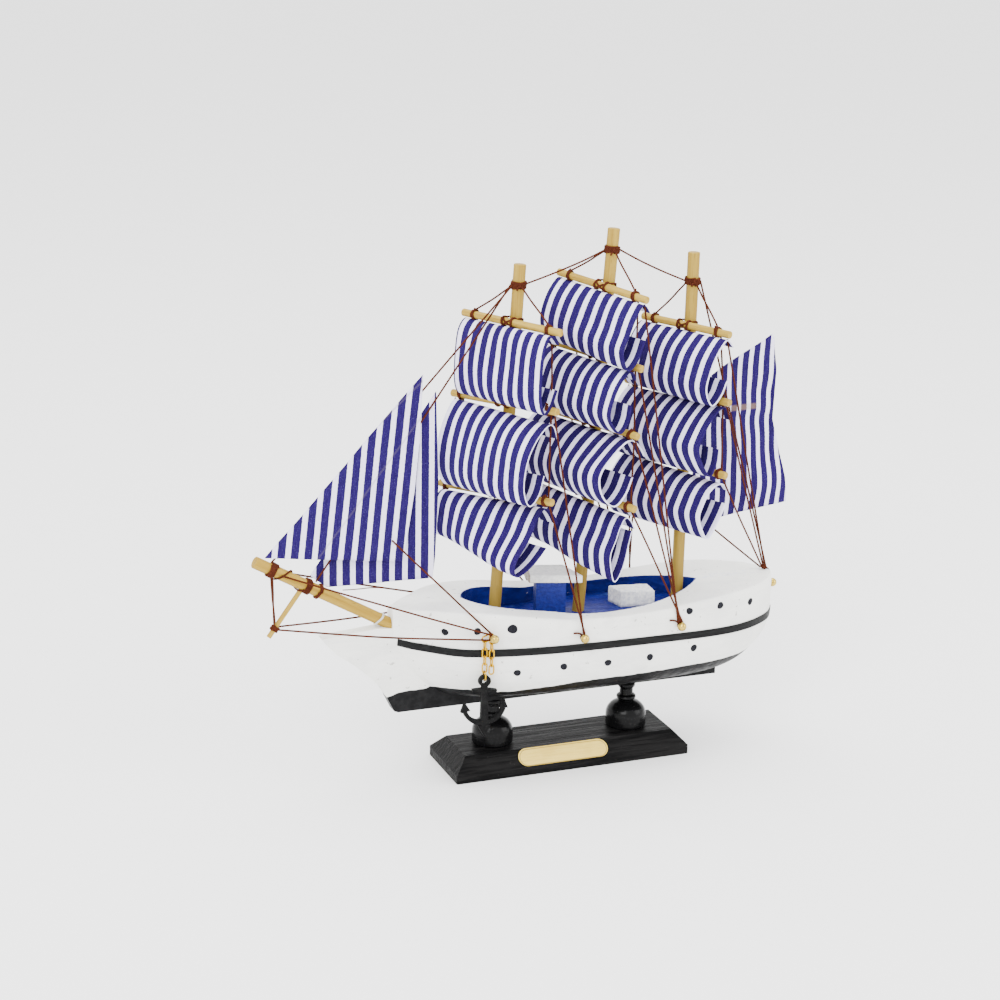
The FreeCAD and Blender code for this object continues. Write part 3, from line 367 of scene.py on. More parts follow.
WATERLINE = [(-60, 25.2), (-54, 25.3), (-50, 26.3), (-42.6, 26.5), (-40, 27.7), (-33, 28.0),
             (-25, 27.1), (-12, 28.0), (2, 28.9), (18, 29.2), (33, 29.8),
             (47, 30.1), (57, 30.6), (66, 31.2)]
WELL = [(-31.4, 0.0), (-30.0, 3.4), (-27.6, 6.4), (-24.0, 8.9), (-19.0, 10.4), (-13.0, 10.9),
        (-8.0, 11.3), (-3.5, 12.8), (1.5, 13.8), (8.0, 14.0), (15.0, 13.6),
        (22.0, 12.5), (29.0, 10.2), (35.0, 6.9), (39.5, 3.3), (42.6, 0.0)]


def paint_tones(n, place):
    """White brushed paint: colour, roughness and height."""
    broad = n.grain(place, (55, 55, 90), 3.0, 0.55)
    brush = n.grain(place, (70, 260, 900), 3.0, 0.6)
    lumps = n.grain(place, (420, 420, 420), 3.0, 0.55)
    tone = n.mix(n.ramp(broad, 0.38, 0.68), rgb(238, 238, 233), rgb(226, 226, 222))
    tone = n.mix(n.times(n.ramp(brush, 0.5, 0.75), 0.35), tone, rgb(214, 215, 214))
    grime = n.ramp(n.grain(place, (700, 700, 700), 2.0, 0.5), 0.69, 0.74)
    tone = n.mix(n.times(grime, 0.55), tone, (0.22, 0.205, 0.18))
    smear = n.ramp(n.grain(place, (130, 130, 240), 4.0, 0.6, shift=(2, 0, 5)), 0.56, 0.74)
    tone = n.mix(n.times(smear, 0.22), tone, (0.50, 0.50, 0.49))
    height = n.plus(n.times(brush, 0.35), n.times(lumps, 0.65))
    return tone, height, lumps


def hull_material(name, with_well):
    """White paint above the waterline, black below, deep blue in the well."""
    n = Nodes(name)
    place = n.coords()
    x, y, z = n.split(place)
    x_mm = n.times(x, 1000.0)
    y_mm = n.times(y, 1000.0)
    z_mm = n.times(z, 1000.0)
    tone, height, lumps = paint_tones(n, place)
    wobble = n.minus(n.grain(place, (330, 330, 330), 3.0), 0.5)
    edge = n.curve(x_mm, WATERLINE, -60, 66)
    edge = n.plus(edge, n.times(wobble, 0.8))
    black = n.ramp(n.minus(edge, z_mm), -0.06, 0.10)
    coal = n.mix(n.ramp(lumps, 0.35, 0.7), (0.0040, 0.0040, 0.0043), (0.0100, 0.0100, 0.0106))
    rust = n.ramp(n.grain(place, (500, 500, 500), 2.0, shift=(3, 0, 0)), 0.70, 0.78)
    coal = n.mix(n.times(rust, 0.4), coal, (0.06, 0.035, 0.022))
    tone = n.mix(black, tone, coal)
    rough = n.ramp(lumps, 0.3, 0.75, 0.36, 0.55)
    if with_well:
        half = n.curve(x_mm, WELL, -31.4, 42.6)
        bleed = n.grain(place, (700, 700, 700), 4.0, 0.65, shift=(0, 5, 0))
        inside = n.minus(half, n.math("ABSOLUTE", y_mm))
        inside = n.plus(inside, n.times(n.minus(bleed, 0.5), 1.1))
        well = n.ramp(inside, -0.42, -0.20)
        well = n.times(well, n.ramp(x_mm, -31.8, -31.3))
        well = n.times(well, n.ramp(x_mm, 43.0, 42.5))
        well = n.times(well, n.ramp(z_mm, 43.6, 43.9))
        streaks = n.grain(place, (240, 500, 700), 3.0, 0.6)
        blue = n.mix(n.ramp(streaks, 0.35, 0.72), (0.0065, 0.0090, 0.110), (0.011, 0.017, 0.185))
        floor = n.ramp(z_mm, 44.9, 44.4)
        worn = n.ramp(n.grain(place, (300, 420, 300), 4.0, 0.65, shift=(7, 1, 0)), 0.60, 0.72)
        blue = n.mix(n.times(n.times(worn, floor), 0.5), blue, (0.10, 0.20, 0.48))
        tone = n.mix(well, tone, blue)
        # specks of blue that strayed over the rim
        near = n.times(n.ramp(inside, -4.6, -1.2), n.ramp(inside, 0.0, -0.4))
        stray = n.ramp(n.grain(place, (1300, 1300, 900), 1.0, 0.3, shift=(1, 2, 3)), 0.735, 0.765)
        stray = n.times(n.times(stray, near), n.ramp(x_mm, 12.0, -6.0))
        stray = n.times(stray, n.ramp(x_mm, -36.0, -34.0))
        above = n.ramp(z_mm, 45.5, 46.2)
        tone = n.mix(n.times(stray, above), tone, (0.03, 0.08, 0.40))
        haze = n.times(n.ramp(inside, -3.4, -0.6), n.ramp(bleed, 0.42, 0.72))
        haze = n.times(n.times(haze, above), n.ramp(x_mm, -34.5, -31.5))
        tone = n.mix(n.times(haze, n.minus(0.22, n.times(well, 0.22))), tone, rgb(150, 166, 220))
        rough = n.plus(rough, n.times(well, -0.08))
    n.set(Base_Color=tone, Roughness=rough)
    n.shine(0.07)
    n.set(Normal=n.bump(height, 0.0006, 0.9))
    return n.mat


def black_wood_material():
    """Open-grained wood under a black stain."""
    n = Nodes("black_wood")
    place = n.coords()
    grain = n.grain(place, (38, 620, 620), 4.0, 0.6, 0.3)
    fibre = n.grain(place, (160, 2600, 2600), 3.0, 0.6)
    rings = n.ramp(grain, 0.42, 0.60)
    tone = n.mix(rings, (0.0024, 0.0024, 0.0025), (0.0085, 0.0082, 0.0082))
    tone = n.mix(n.times(n.ramp(fibre, 0.55, 0.75), 0.4), tone, (0.021, 0.020, 0.020))
    chips = n.ramp(n.grain(place, (900, 900, 900), 1.0), 0.76, 0.80)
    tone = n.mix(n.times(chips, 0.4), tone, (0.10, 0.095, 0.085))
    n.set(Base_Color=tone, Roughness=n.ramp(grain, 0.35, 0.7, 0.36, 0.55))
    height = n.plus(n.times(grain, 0.8), n.times(fibre, 0.35))
    n.set(Normal=n.bump(height, 0.0006, 0.9))
    n.shine(0.045)
    return n.mat


def gloss_black_material():
    n = Nodes("black_gloss")
    place = n.coords()
    rings = n.grain(place, (60, 60, 1800), 2.0, 0.5)
    dust = n.ramp(n.grain(place, (1500, 1500, 1500), 1.0), 0.72, 0.80)
    tone = n.mix(n.times(dust, 0.3), (0.0030, 0.0030, 0.0032), (0.05, 0.048, 0.046))
    n.set(Base_Color=tone, Roughness=n.ramp(rings, 0.3, 0.7, 0.14, 0.24))
    n.shine(0.10)
    n.set(Normal=n.bump(rings, 0.00012, 0.5))
    return n.mat


def cast_black_material():
    """Dull black cast metal with a grainy skin."""
    n = Nodes("anchor_black")
    place = n.coords()
    grit = n.grain(place, (2600, 2600, 2600), 3.0, 0.6)
    broad = n.grain(place, (420, 420, 420), 2.0)
    tone = n.mix(n.ramp(grit, 0.4, 0.72), (0.0026, 0.0026, 0.0028), (0.0085, 0.0083, 0.0083))
    tone = n.mix(n.times(n.ramp(broad, 0.5, 0.7), 0.3), tone, (0.013, 0.013, 0.0125))
    n.set(Base_Color=tone, Roughness=n.ramp(grit, 0.3, 0.75, 0.42, 0.62))
    n.shine(0.05)
    n.set(Normal=n.bump(n.plus(grit, broad), 0.00012, 0.9))
    return n.mat


def metal_material(name, light, dark, rough):
    n = Nodes(name)
    place = n.coords()
    cloud = n.grain(place, (900, 900, 900), 3.0, 0.55)
    fine = n.grain(place, (4200, 4200, 4200), 2.0, 0.6)
    n.set(Base_Color=n.mix(n.ramp(cloud, 0.35, 0.7), light, dark))
    n.set(Roughness=n.ramp(fine, 0.3, 0.75, rough, rough + 0.16))
    n.bsdf.inputs["Metallic"].default_value = 1.0
    n.set(Normal=n.bump(fine, 0.00002, 0.6))
    return n.mat


def plate_material(low, high):
    """Brushed brass plate with a thin dark line near its edge; no lettering."""
    n = Nodes("plate_brass")
    place = n.coords()
    x, y, z = n.split(place)
    brushed = n.grain(place, (140, 5200, 5200), 3.0, 0.6)
    cloud = n.grain(place, (180, 180, 180), 2.0)
    middle_x = (low.x + high.x) / 2
    middle_z = (low.z + high.z) / 2
    half_x = (high.x - low.x) / 2
    half_z = (high.z - low.z) / 2
    # distance from the rounded bar's centre line, as a share of its half width
    run = half_x - half_z * 1.36
    dx = n.math("MAXIMUM", n.minus(n.math("ABSOLUTE", n.minus(x, middle_x)), run), 0.0)
    dz = n.times(n.minus(z, middle_z), 1.36)
    away = n.math("SQRT", n.plus(n.times(dx, dx), n.times(dz, dz)))
    share = n.math("DIVIDE", away, half_z * 1.36)
    line = n.times(n.ramp(share, 0.80, 0.84), n.ramp(share, 0.91, 0.87))
    tone = n.mix(n.ramp(brushed, 0.35, 0.7), (0.90, 0.67, 0.16), (0.80, 0.56, 0.11))
    tone = n.mix(n.times(n.ramp(cloud, 0.4, 0.7), 0.4), tone, (0.70, 0.47, 0.09))
    tone = n.mix(n.times(line, 0.8), tone, (0.20, 0.11, 0.02))
    n.set(Base_Color=tone, Roughness=n.ramp(brushed, 0.3, 0.75, 0.28, 0.44))
    n.bsdf.inputs["Metallic"].default_value = 0.85
    n.set(Normal=n.bump(brushed, 0.00002, 0.7))
    return n.mat


BARE_BOX = ((17.9, -3.2), math.radians(12.4), 0.32, (0.33, 0.21, 0.12), (0.030, 0.018, 0.012))
BARE_ROOF = ((-11.9, -3.2), math.radians(-16.0), 0.45, (0.42, 0.34, 0.27), (0.20, 0.15, 0.11))


def painted_wood_material(name, light, dark, bare, share, seed, bare_end=None):
    """Rough wood under thin paint; share of it is bare, and so may be its forward end."""
    n = Nodes(name)
    place = n.coords()
    shifted = n.mapping(place, scale=(1000, 1000, 1000), location=(seed, 0, 0))
    patch = n.noise(shifted, 0.32, 4.0, 0.62)
    grain = n.grain(place, (500, 1800, 2600), 3.0, 0.6)
    lumps = n.noise(shifted, 1.1, 3.0, 0.55)
    tone = n.mix(n.ramp(lumps, 0.35, 0.7), light, dark)
    tone = n.mix(n.ramp(patch, 0.74 - share, 0.80 - share), tone, bare)
    if bare_end:
        # raw sawn end: everything within a thin slice behind the forward corner
        (cx, cy), turn, depth, raw, stain = bare_end
        x, y, _ = n.split(place)
        run = n.plus(n.times(x, 1000 * math.cos(turn)), n.times(y, 1000 * math.sin(turn)))
        run = n.minus(run, cx * math.cos(turn) + cy * math.sin(turn))
        end = n.ramp(n.plus(run, n.times(lumps, 0.2)), depth + 0.12, depth - 0.05)
        sawn = n.mix(n.ramp(grain, 0.35, 0.7), raw, tuple(c * 0.55 for c in raw))
        sawn = n.mix(n.ramp(n.noise(shifted, 0.45, 3.0, 0.6), 0.50, 0.62), sawn, stain)
        tone = n.mix(end, tone, sawn)
    n.shine(0.2)
    n.set(Base_Color=tone, Roughness=n.ramp(grain, 0.3, 0.75, 0.42, 0.62))
    n.set(Normal=n.bump(n.plus(n.times(grain, 0.6), lumps), 0.00022, 0.8))
    return n.mat


def disc_material():
    n = Nodes("porthole_black")
    fine = n.grain(n.coords(), (2200, 2200, 2200), 3.0, 0.6)
    tone = n.mix(n.ramp(fine, 0.35, 0.7), (0.005, 0.005, 0.007), (0.014, 0.014, 0.019))
    n.set(Base_Color=tone, Roughness=0.5)
    n.shine(0.06)
    n.set(Normal=n.bump(fine, 0.00012, 0.7))
    return n.mat


def stripe_material():
    n = Nodes("stripe_black")
    place = n.coords()
    brush = n.grain(place, (160, 900, 2200), 3.0, 0.6)
    n.set(Base_Color=n.mix(n.ramp(brush, 0.35, 0.72), (0.0050, 0.0052, 0.0054), (0.0110, 0.0113, 0.0115)))
    n.shine(0.06)
    n.set(Roughness=n.ramp(brush, 0.3, 0.75, 0.34, 0.5), Normal=n.bump(brush, 0.0001, 0.6))
    return n.mat


THREAD = thread_material()
PALE_THREAD = pale_thread_material()


# ---------------------------------------------------------------- mesh helpers
def new_object(name, verts, faces, material, smooth=True):
    """Mesh object from millimetre points."""
    mesh = bpy.data.meshes.new(name)
    points = [tuple(c * MM for c in v) for v in verts]
    mesh.from_pydata(points, [], faces)
    mesh.materials.append(material)
    mesh.polygons.foreach_set("use_smooth", [smooth] * len(mesh.polygons))
    mesh.update()
    obj = bpy.data.objects.new(name, mesh)
    bpy.context.scene.collection.objects.link(obj)
    return obj


def finish_piece(obj, body, slot, *nodes):
    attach(obj, body)
    if nodes:
        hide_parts(*nodes)
    return obj


def route(points, fine=10):
    """Centre line in millimetres: points read from a NURBS spline through the route."""
    data = bpy.data.curves.new("route", "CURVE")
    data.dimensions = "3D"
    data.resolution_u = fine
    spline = data.splines.new("NURBS")
    spline.points.add(len(points) - 1)
    for p, q in zip(spline.points, points):
        p.co = (q[0], q[1], q[2], 1)
    spline.order_u = 3
    spline.use_endpoint_u = True
    holder = bpy.data.objects.new("route", data)
    bpy.context.scene.collection.objects.link(holder)
    bpy.context.view_layer.update()
    graph = bpy.context.evaluated_depsgraph_get()
    mesh = bpy.data.meshes.new_from_object(holder.evaluated_get(graph))
    out = [v.co.copy() for v in mesh.vertices]
    bpy.data.objects.remove(holder)
    bpy.data.curves.remove(data)
    bpy.data.meshes.remove(mesh)
    return out


def spaced(points, step):
    """Points an even step apart along a polyline."""
    pts = np.array([tuple(p) for p in points], float)
    seg = np.linalg.norm(np.diff(pts, axis=0), axis=1)
    keep = np.concatenate([[True], seg > 1e-6])
    pts = pts[keep]
    seg = np.linalg.norm(np.diff(pts, axis=0), axis=1)
    s = np.concatenate([[0], np.cumsum(seg)])
    count = max(int(round(s[-1] / step)), 2)
    at = np.linspace(0, s[-1], count + 1)
    return np.stack([np.interp(at, s, pts[:, k]) for k in range(3)], 1)


def frames(pts):
    """Tangent and two side directions that don't twist, at each point."""
    tangent = np.gradient(pts, axis=0)
    tangent /= np.linalg.norm(tangent, axis=1)[:, None]
    side = np.cross(tangent[0], (0.3, 0.2, 0.93))
    if np.linalg.norm(side) < 0.1:
        side = np.cross(tangent[0], (1.0, 0, 0))
    a = np.zeros_like(pts)
    a[0] = side / np.linalg.norm(side)
    for i in range(1, len(pts)):
        v = a[i - 1] - tangent[i] * (a[i - 1] @ tangent[i])
        a[i] = v / np.linalg.norm(v)
    b = np.cross(tangent, a)
    return tangent, a, b


def thread_mesh(centre, diameter=THREAD_D, plies=3, ring=5, pitch=PLY_TURN, phase=0.0):
    """Vertices and faces of a twisted thread along centre (even points)."""
    _, a, b = frames(centre)
    length = np.concatenate([[0], np.cumsum(np.linalg.norm(np.diff(centre, axis=0), axis=1))])
    verts = []
    faces = []
    ply_r = diameter * PLY_SHARE
    off = diameter / 2 - ply_r
    for ply in range(plies):
        turn = length / pitch * 2 * math.pi + ply * 2 * math.pi / plies + phase
        mid = centre + off * (np.cos(turn)[:, None] * a + np.sin(turn)[:, None] * b)
        base = len(verts)
        for i in range(len(centre)):
            for k in range(ring):
                t = 2 * math.pi * k / ring + turn[i]
                verts.append(tuple(mid[i] + ply_r * (math.cos(t) * a[i] + math.sin(t) * b[i])))
        for i in range(len(centre) - 1):
            for k in range(ring):
                k2 = (k + 1) % ring
                p = base + i * ring
                q = p + ring
                faces.append((p + k, p + k2, q + k2, q + k))
        faces.append(tuple(base + k for k in range(ring))[::-1])
        last = base + (len(centre) - 1) * ring
        faces.append(tuple(last + k for k in range(ring)))
    return verts, faces


class Bundle:
    """Several threads gathered in one mesh."""

    def __init__(self):
        self.verts = []
        self.faces = []

    def add(self, points, step=THREAD_STEP, diameter=THREAD_D, smooth=True, **more):
        line = route(points) if smooth else points
        verts, faces = thread_mesh(spaced(line, step), diameter, **more)
        base = len(self.verts)
        self.verts += verts
        self.faces += [tuple(base + i for i in f) for f in faces]

    def make(self, name, material=THREAD):
        return new_object(name, self.verts, self.faces, material)


def slack(start, end, sag=0.0, sway=0.0, seed=0):
    """Route of a tight thread: a nearly straight line with a slight bow."""
    rng = random.Random(seed)
    start, end = Vector(start), Vector(end)
    out = [start]
    count = 4
    for i in range(1, count):
        k = i / count
        p = start.lerp(end, k)
        bow = 4 * k * (1 - k)
        p.z -= sag * bow
        p.y += sway * bow
        p.x += rng.uniform(-0.12, 0.12)
        p.z += rng.uniform(-0.12, 0.12)
        out.append(p)
    out.append(end)
    return out


def winding(centre, way, radius, length, turns, seed=0, lean=0.25, diameter=THREAD_D):
    """Points of thread wound round a stick, a little uneven, with crossing turns."""
    rng = random.Random(seed)
    way = Vector(way).normalized()
    side = way.orthogonal().normalized()
    other = way.cross(side)
    steps = turns * 18
    out = []
    start = rng.uniform(0, 6.28)
    r = radius + diameter * 0.46
    skew = rng.uniform(-lean, lean)
    for i in range(steps + 1):
        k = i / steps
        t = start + 2 * math.pi * turns * k
        along = (k - 0.5) * (length - diameter)
        along += 0.10 * math.sin(3.1 * t + seed) + skew * math.cos(t)
        rr = r + 0.04 * math.sin(2.3 * t + 1.7 * seed)
        out.append(Vector(centre) + way * along + side * (rr * math.cos(t)) + other * (rr * math.sin(t)))
    return out


def on_line(a, b, z):
    k = (z - a[2]) / (b[2] - a[2])
    return Vector(a) + (Vector(b) - Vector(a)) * k


def mast_at(name, z):
    return on_line(*MASTS[name], z)


def yard_frame(key):
    mast, z, shift, tilt, length = YARDS[key]
    t = math.radians(tilt)
    way = Vector((math.sin(BRACE) * math.cos(t), -math.cos(BRACE) * math.cos(t), -math.sin(t)))
    centre = mast_at(mast, z) + SAIL_FRONT * YARD_OFFSET + way * shift
    return centre, way, length


def yard_tip(key, side, inset=0.0):
    centre, way, length = yard_frame(key)
    return centre + way * (side * (length / 2 - inset))


def sprit_at(x):
    k = (x - SPRIT_FOOT.x) / (SPRIT_TIP.x - SPRIT_FOOT.x)
    return SPRIT_FOOT + (SPRIT_TIP - SPRIT_FOOT) * k


# ------------------------------------------------------- cords: standing threads
# pin: (x, z); beam of the hull at each pin; how far thread stands off the hull there
PINS = {"bow": (-28.6, 45.9), "waist": (-1.6, 43.3), "quarter": (28.6, 43.5)}
BEAMS = {"bow": 16.08, "waist": 19.11, "quarter": 18.94}
STANDOFF = 0.9
CHAIN_STANDOFF = 3.1
STERN_PIN = Vector((66.3, 0, 46.3))


def pin_wrap(name, side):
    x, z = PINS[name]
    off = CHAIN_STANDOFF if name == "bow" and side < 0 else STANDOFF
    return Vector((x, side * (BEAMS[name] + off - WRAP_BACK), z + PIN_R + THREAD_D / 2))


def mast_lash(name, dx=0.0, dy=0.0, dz=0.0):
    return mast_at(name, MAST_LASHING_Z[name]) + Vector((dx, dy, dz))


OFF_MAST = MAST_R + THREAD_D / 2
OFF_SPRIT = SPRIT_R + THREAD_D / 2
UP_YARD = Vector((0, 0, YARD_R + THREAD_D / 2))
cord_number = 0


def taut(name, points, node):
    """One thread, tied at both ends."""
    global cord_number
    cord_number += 1
    line = spaced(route(points), THREAD_STEP)
    verts, faces = thread_mesh(line, phase=cord_number * 0.9)
    obj = new_object(name, verts, faces, THREAD)
    finish_piece(obj, "ship", "thread_brown", node)
    return obj


ON_SPRIT = OFF_SPRIT + 0.3
# name, start, end, sag, sway
STAYS = [
    ("stay_outer", mast_lash("fore", -OFF_MAST, -0.6), sprit_at(-86.9) + Vector((0, -0.3, ON_SPRIT)), 0.5, -0.3),
    ("stay_inner", mast_lash("fore", -OFF_MAST, 0.6), sprit_at(-74.2) + Vector((0, 0.3, ON_SPRIT)), 0.4, 0.2),
    ("stay_fore_main", mast_lash("fore", OFF_MAST), mast_lash("main", -OFF_MAST), 0.5, 0.0),
    ("stay_main_mizzen", mast_lash("main", OFF_MAST), mast_lash("mizzen", -OFF_MAST), 0.4, 0.0),
]
for seed, (name, start, end, sag, sway) in enumerate(STAYS, 1):
    taut(name, slack(start, end, sag, sway, seed), "stays")


def brace(key, side, word, hook, seed):
    """Straight thread from a yard's end down to its pin."""
    line = slack(yard_tip(key, side, TIP_INSET) - UP_YARD, hook, 0.0, 0.0, seed)
    taut(f"brace_{word}_{key}", line, f"{word}_lines")


for side, word in SIDES:
    outward = Vector((0, -side * 0.3, 0))
    waist = pin_wrap("waist", -side) + outward
    quarter = pin_wrap("quarter", -side) + outward
    for i, key in enumerate(("fore_2", "fore_3")):
        brace(key, side, word, waist + Vector((0.4 * i, 0, 0)), 10 + i)
    for i, key in enumerate(("main_1", "main_2", "main_3", "main_4")):
        brace(key, side, word, quarter + Vector((0.5 * i - 0.75, 0, 0)), 20 + i)
for i, key in enumerate(("mizzen_1", "mizzen_2")):
    brace(key, -1, "starboard", quarter + Vector((0.5 * i + 1.2, 0, 0)), 30 + i)

RAIL = Vector((65.5, 0, 51.3))
STERN_HOOK = STERN_PIN + Vector((STANDOFF - WRAP_BACK, 0, PIN_R + THREAD_D / 2))
stern_starts = [
    ("backstay", mast_lash("mizzen", OFF_MAST, -0.8)),
    ("stern_mizzen_1", yard_tip("mizzen_1", 1, TIP_INSET) - UP_YARD),
    ("stern_mizzen_2", yard_tip("mizzen_2", 1, TIP_INSET) - UP_YARD),
    ("stern_mizzen_3", yard_tip("mizzen_3", 1, TIP_INSET) - UP_YARD),
    ("stern_mizzen_3_starboard", yard_tip("mizzen_3", -1, TIP_INSET) - UP_YARD),
]
for i, (name, start) in enumerate(stern_starts):
    taut(name, slack(start, RAIL + Vector((-0.3 * i, 0.35 * (i - 2), 0)), 0.2, 0.0, 40 + i), "stern_lines")

STRIKER_K = (-78.7 - SPRIT_FOOT.x) / (SPRIT_TIP.x - SPRIT_FOOT.x)
STRIKER_TOP = SPRIT_FOOT + (SPRIT_TIP - SPRIT_FOOT) * STRIKER_K - Vector((0, 0, SPRIT_R * 1.2))
STRIKER_WAY = (STRIKER_TOP - STRIKER_FOOT).normalized()
STRIKER_WRAP = STRIKER_FOOT + STRIKER_WAY * 3.0
for side, word in ((-1, "port"), (1, "starboard")):
    hook = pin_wrap("bow", side)
    upper = sprit_at(-84.6) + Vector((0, side * OFF_SPRIT, 0))
    taut(f"bow_upper_{word}", slack(upper, hook, 0.3, 0.0, 50 + side), "bow_lines")
    low = STRIKER_WRAP + Vector((0, side * (STRIKER_R + 0.42), 0))
    under_hook = hook - Vector((0, 0, 2 * PIN_R + THREAD_D))
    taut(f"bow_lower_{word}", slack(low, under_hook, 0.7, 0.0, 60 + side), "bow_lines")
    side_wrap = Vector((0.4 * side, side * (STRIKER_R + THREAD_D / 2), 0))
    under_sprit = sprit_at(-86.9) - Vector((0, -side * 0.9, OFF_SPRIT))
    line = slack(under_sprit, STRIKER_WRAP + side_wrap, 0.0, 0.0, 70 + side)
    taut(f"martingale_{word}", line, "bow_lines")
taut("jib_sheet", slack(Vector((-52.6, -1.6, 71.6)), pin_wrap("bow", -1), 0.2, 0.0, 80), "bow_lines")

# lifts and the short threads from yard to yard
short = Bundle()
for name in ("fore", "main", "mizzen"):
    key = name + "_1"
    for side in (-1, 1):
        start = mast_lash(name, 0, -side * OFF_MAST)
        short.add(slack(start, yard_tip(key, side, 4.4) + UP_YARD, 0.15, 0.0, 90 + side))
finish_piece(short.make("lift_threads"), "ship", "thread_brown", "lifts")

for side, word in SIDES:
    links = Bundle()
    back = SAIL_FRONT * (-YARD_R - THREAD_D / 2)
    for name, count in (("fore", 3), ("main", 4), ("mizzen", 3)):
        for i in range(1, count):
            upper = yard_tip(f"{name}_{i}", side, WRAP_INSET[str(i)]) + back
            lower = yard_tip(f"{name}_{i + 1}", side, WRAP_INSET[str(i + 1)]) + back
            links.add(slack(upper, lower, 0.0, 0.15, 100 + i))
    finish_piece(links.make(f"yard_threads_{word}"), "ship", "thread_brown", f"{word}_lines")

# ----------------------------------------------------------------- wound thread
KNOT = [(0.5, 0.1, 0.6), (-0.3, -0.2, 0.2), (0.4, -0.35, -0.3), (-0.5, -0.1, -0.5), (-0.9, -0.4, -1.3)]
wound = Bundle()
for j, (name, z) in enumerate(MAST_LASHING_Z.items()):
    way = Vector(MASTS[name][1]) - Vector(MASTS[name][0])
    wound.add(winding(mast_at(name, z), way, MAST_R, 2.6, 5, 3 + j, 0.35), smooth=False)
    knot = mast_at(name, z) + Vector((-0.6, -MAST_R - 0.5, 0.1))
    wound.add([knot + Vector(turn) for turn in KNOT], step=KNOT_STEP)
finish_piece(wound.make("mast_windings"), "ship", "thread_brown", "mast_lashings")

wound = Bundle()
for j, key in enumerate(YARDS):
    way = yard_frame(key)[1]
    inset = WRAP_INSET[key[-1]]
    for side in (-1, 1):
        tip = yard_tip(key, side, inset)
        wound.add(winding(tip, way, YARD_R, 1.5, 3, 20 + 2 * j + side, 0.25), smooth=False)
        rng = random.Random(200 + 2 * j + side)
        root = tip + Vector((0, 0, YARD_R + 0.3))
        tail = root + Vector((rng.uniform(-1.1, 1.1), rng.uniform(-1.0, 0.2), rng.uniform(0.2, 0.9)))
        wound.add([root, root.lerp(tail, 0.5) + Vector((0, 0, 0.3)), tail], step=KNOT_STEP)
finish_piece(wound.make("yard_end_windings"), "ship", "thread_brown", "yard_end_lashings")

wound = Bundle()
for j, key in enumerate(YARDS):
    way = yard_frame(key)[1]
    mast, z = YARDS[key][:2]
    middle = mast_at(mast, z)
    up = (Vector(MASTS[mast][1]) - Vector(MASTS[mast][0])).normalized()
    for slant in (-1, 1):
        # a crossed loop round mast and yard together, like a figure of eight
        loop = []
        for i in range(49):
            t = 2 * math.pi * i / 48
            reach = (MAST_R + YARD_R + YARD_OFFSET) / 2 + 0.35
            inward = (YARD_OFFSET + YARD_R - MAST_R) / 2
            across = 2.25 + 0.12 * math.sin(2 * t + j)
            p = middle + SAIL_FRONT * (inward + reach * math.cos(t)) + way * (across * math.sin(t))
            p += up * (slant * 1.5 * math.sin(t) * (0.6 + 0.4 * math.cos(t)) + 0.12 * math.cos(3 * t))
            loop.append(p)
        wound.add(loop, smooth=False)
    for shift in (-1.7, 1.7):
        place = middle + SAIL_FRONT * YARD_OFFSET + way * shift
        wound.add(winding(place, way, YARD_R, 1.0, 2, 60 + j, 0.15), smooth=False)
finish_piece(wound.make("yard_cross_windings"), "ship", "thread_brown", "yard_cross_lashings")

wound = Bundle()
for j, (x, width, turns) in enumerate(((-86.9, 2.6, 5), (-76.8, 2.4, 4), (-73.6, 1.4, 3))):
    wound.add(winding(sprit_at(x), SPRIT_WAY, SPRIT_R, width, turns, 80 + j, 0.35), smooth=False)
spiral = []
for i in range(61):
    k = i / 60
    t = -1.2 + 2 * math.pi * 1.1 * k
    side = Vector((0, -1, 0))
    up = SPRIT_WAY.cross(side)
    place = sprit_at(-85.6 + 8.0 * k)
    spiral.append(place + (side * math.cos(t) + up * math.sin(t)) * (SPRIT_R + THREAD_D * 0.48))
wound.add(spiral, smooth=False)
wound.add(winding(STRIKER_WRAP, STRIKER_WAY, STRIKER_R, 2.0, 4, 90, 0.1), smooth=False)
finish_piece(wound.make("bowsprit_windings"), "ship", "thread_brown", "bowsprit_lashings")

# thread wound on the pins, and the short fall from the rail to the stern pin
wound = Bundle()
for j, name in enumerate(PINS):
    for side in (-1, 1):
        x, z = PINS[name]
        off = CHAIN_STANDOFF if name == "bow" and side < 0 else STANDOFF
        centre = Vector((x, side * (BEAMS[name] + off - 0.42), z))
        wound.add(winding(centre, (0, 1, 0), PIN_R, 0.75, 2, 120 + j, 0.05), smooth=False)
        if name != "bow" or side > 0:
            rng = random.Random(300 + 2 * j + side)
            root = centre + Vector((-0.4, 0, 0.7))
            tail = root + Vector((-2.6 + rng.uniform(-0.4, 0.4), side * 0.25, rng.uniform(-0.8, 1.2)))
            wound.add([root, root.lerp(tail, 0.5) + Vector((0, side * 0.3, 0.7)), tail], step=KNOT_STEP)
finish_piece(wound.make("pin_windings"), "ship", "thread_brown")
wound = Bundle()
wound.add([RAIL, Vector((66.4, 0, 51.0)), Vector((67.0, 0.1, 49.8)), STERN_HOOK], step=KNOT_STEP)
wound.add(winding(RAIL + Vector((-0.6, 0, 0.2)), (0.75, 0, 0.66), 0.35, 1.2, 3, 141, 0.1), smooth=False)
on_stern_pin = STERN_PIN + Vector((STANDOFF - 0.42, 0, 0))
wound.add(winding(on_stern_pin, (1, 0, 0), PIN_R, 0.75, 2, 140, 0.05), smooth=False)
finish_piece(wound.make("stern_fall"), "ship", "thread_brown", "stern_lines")

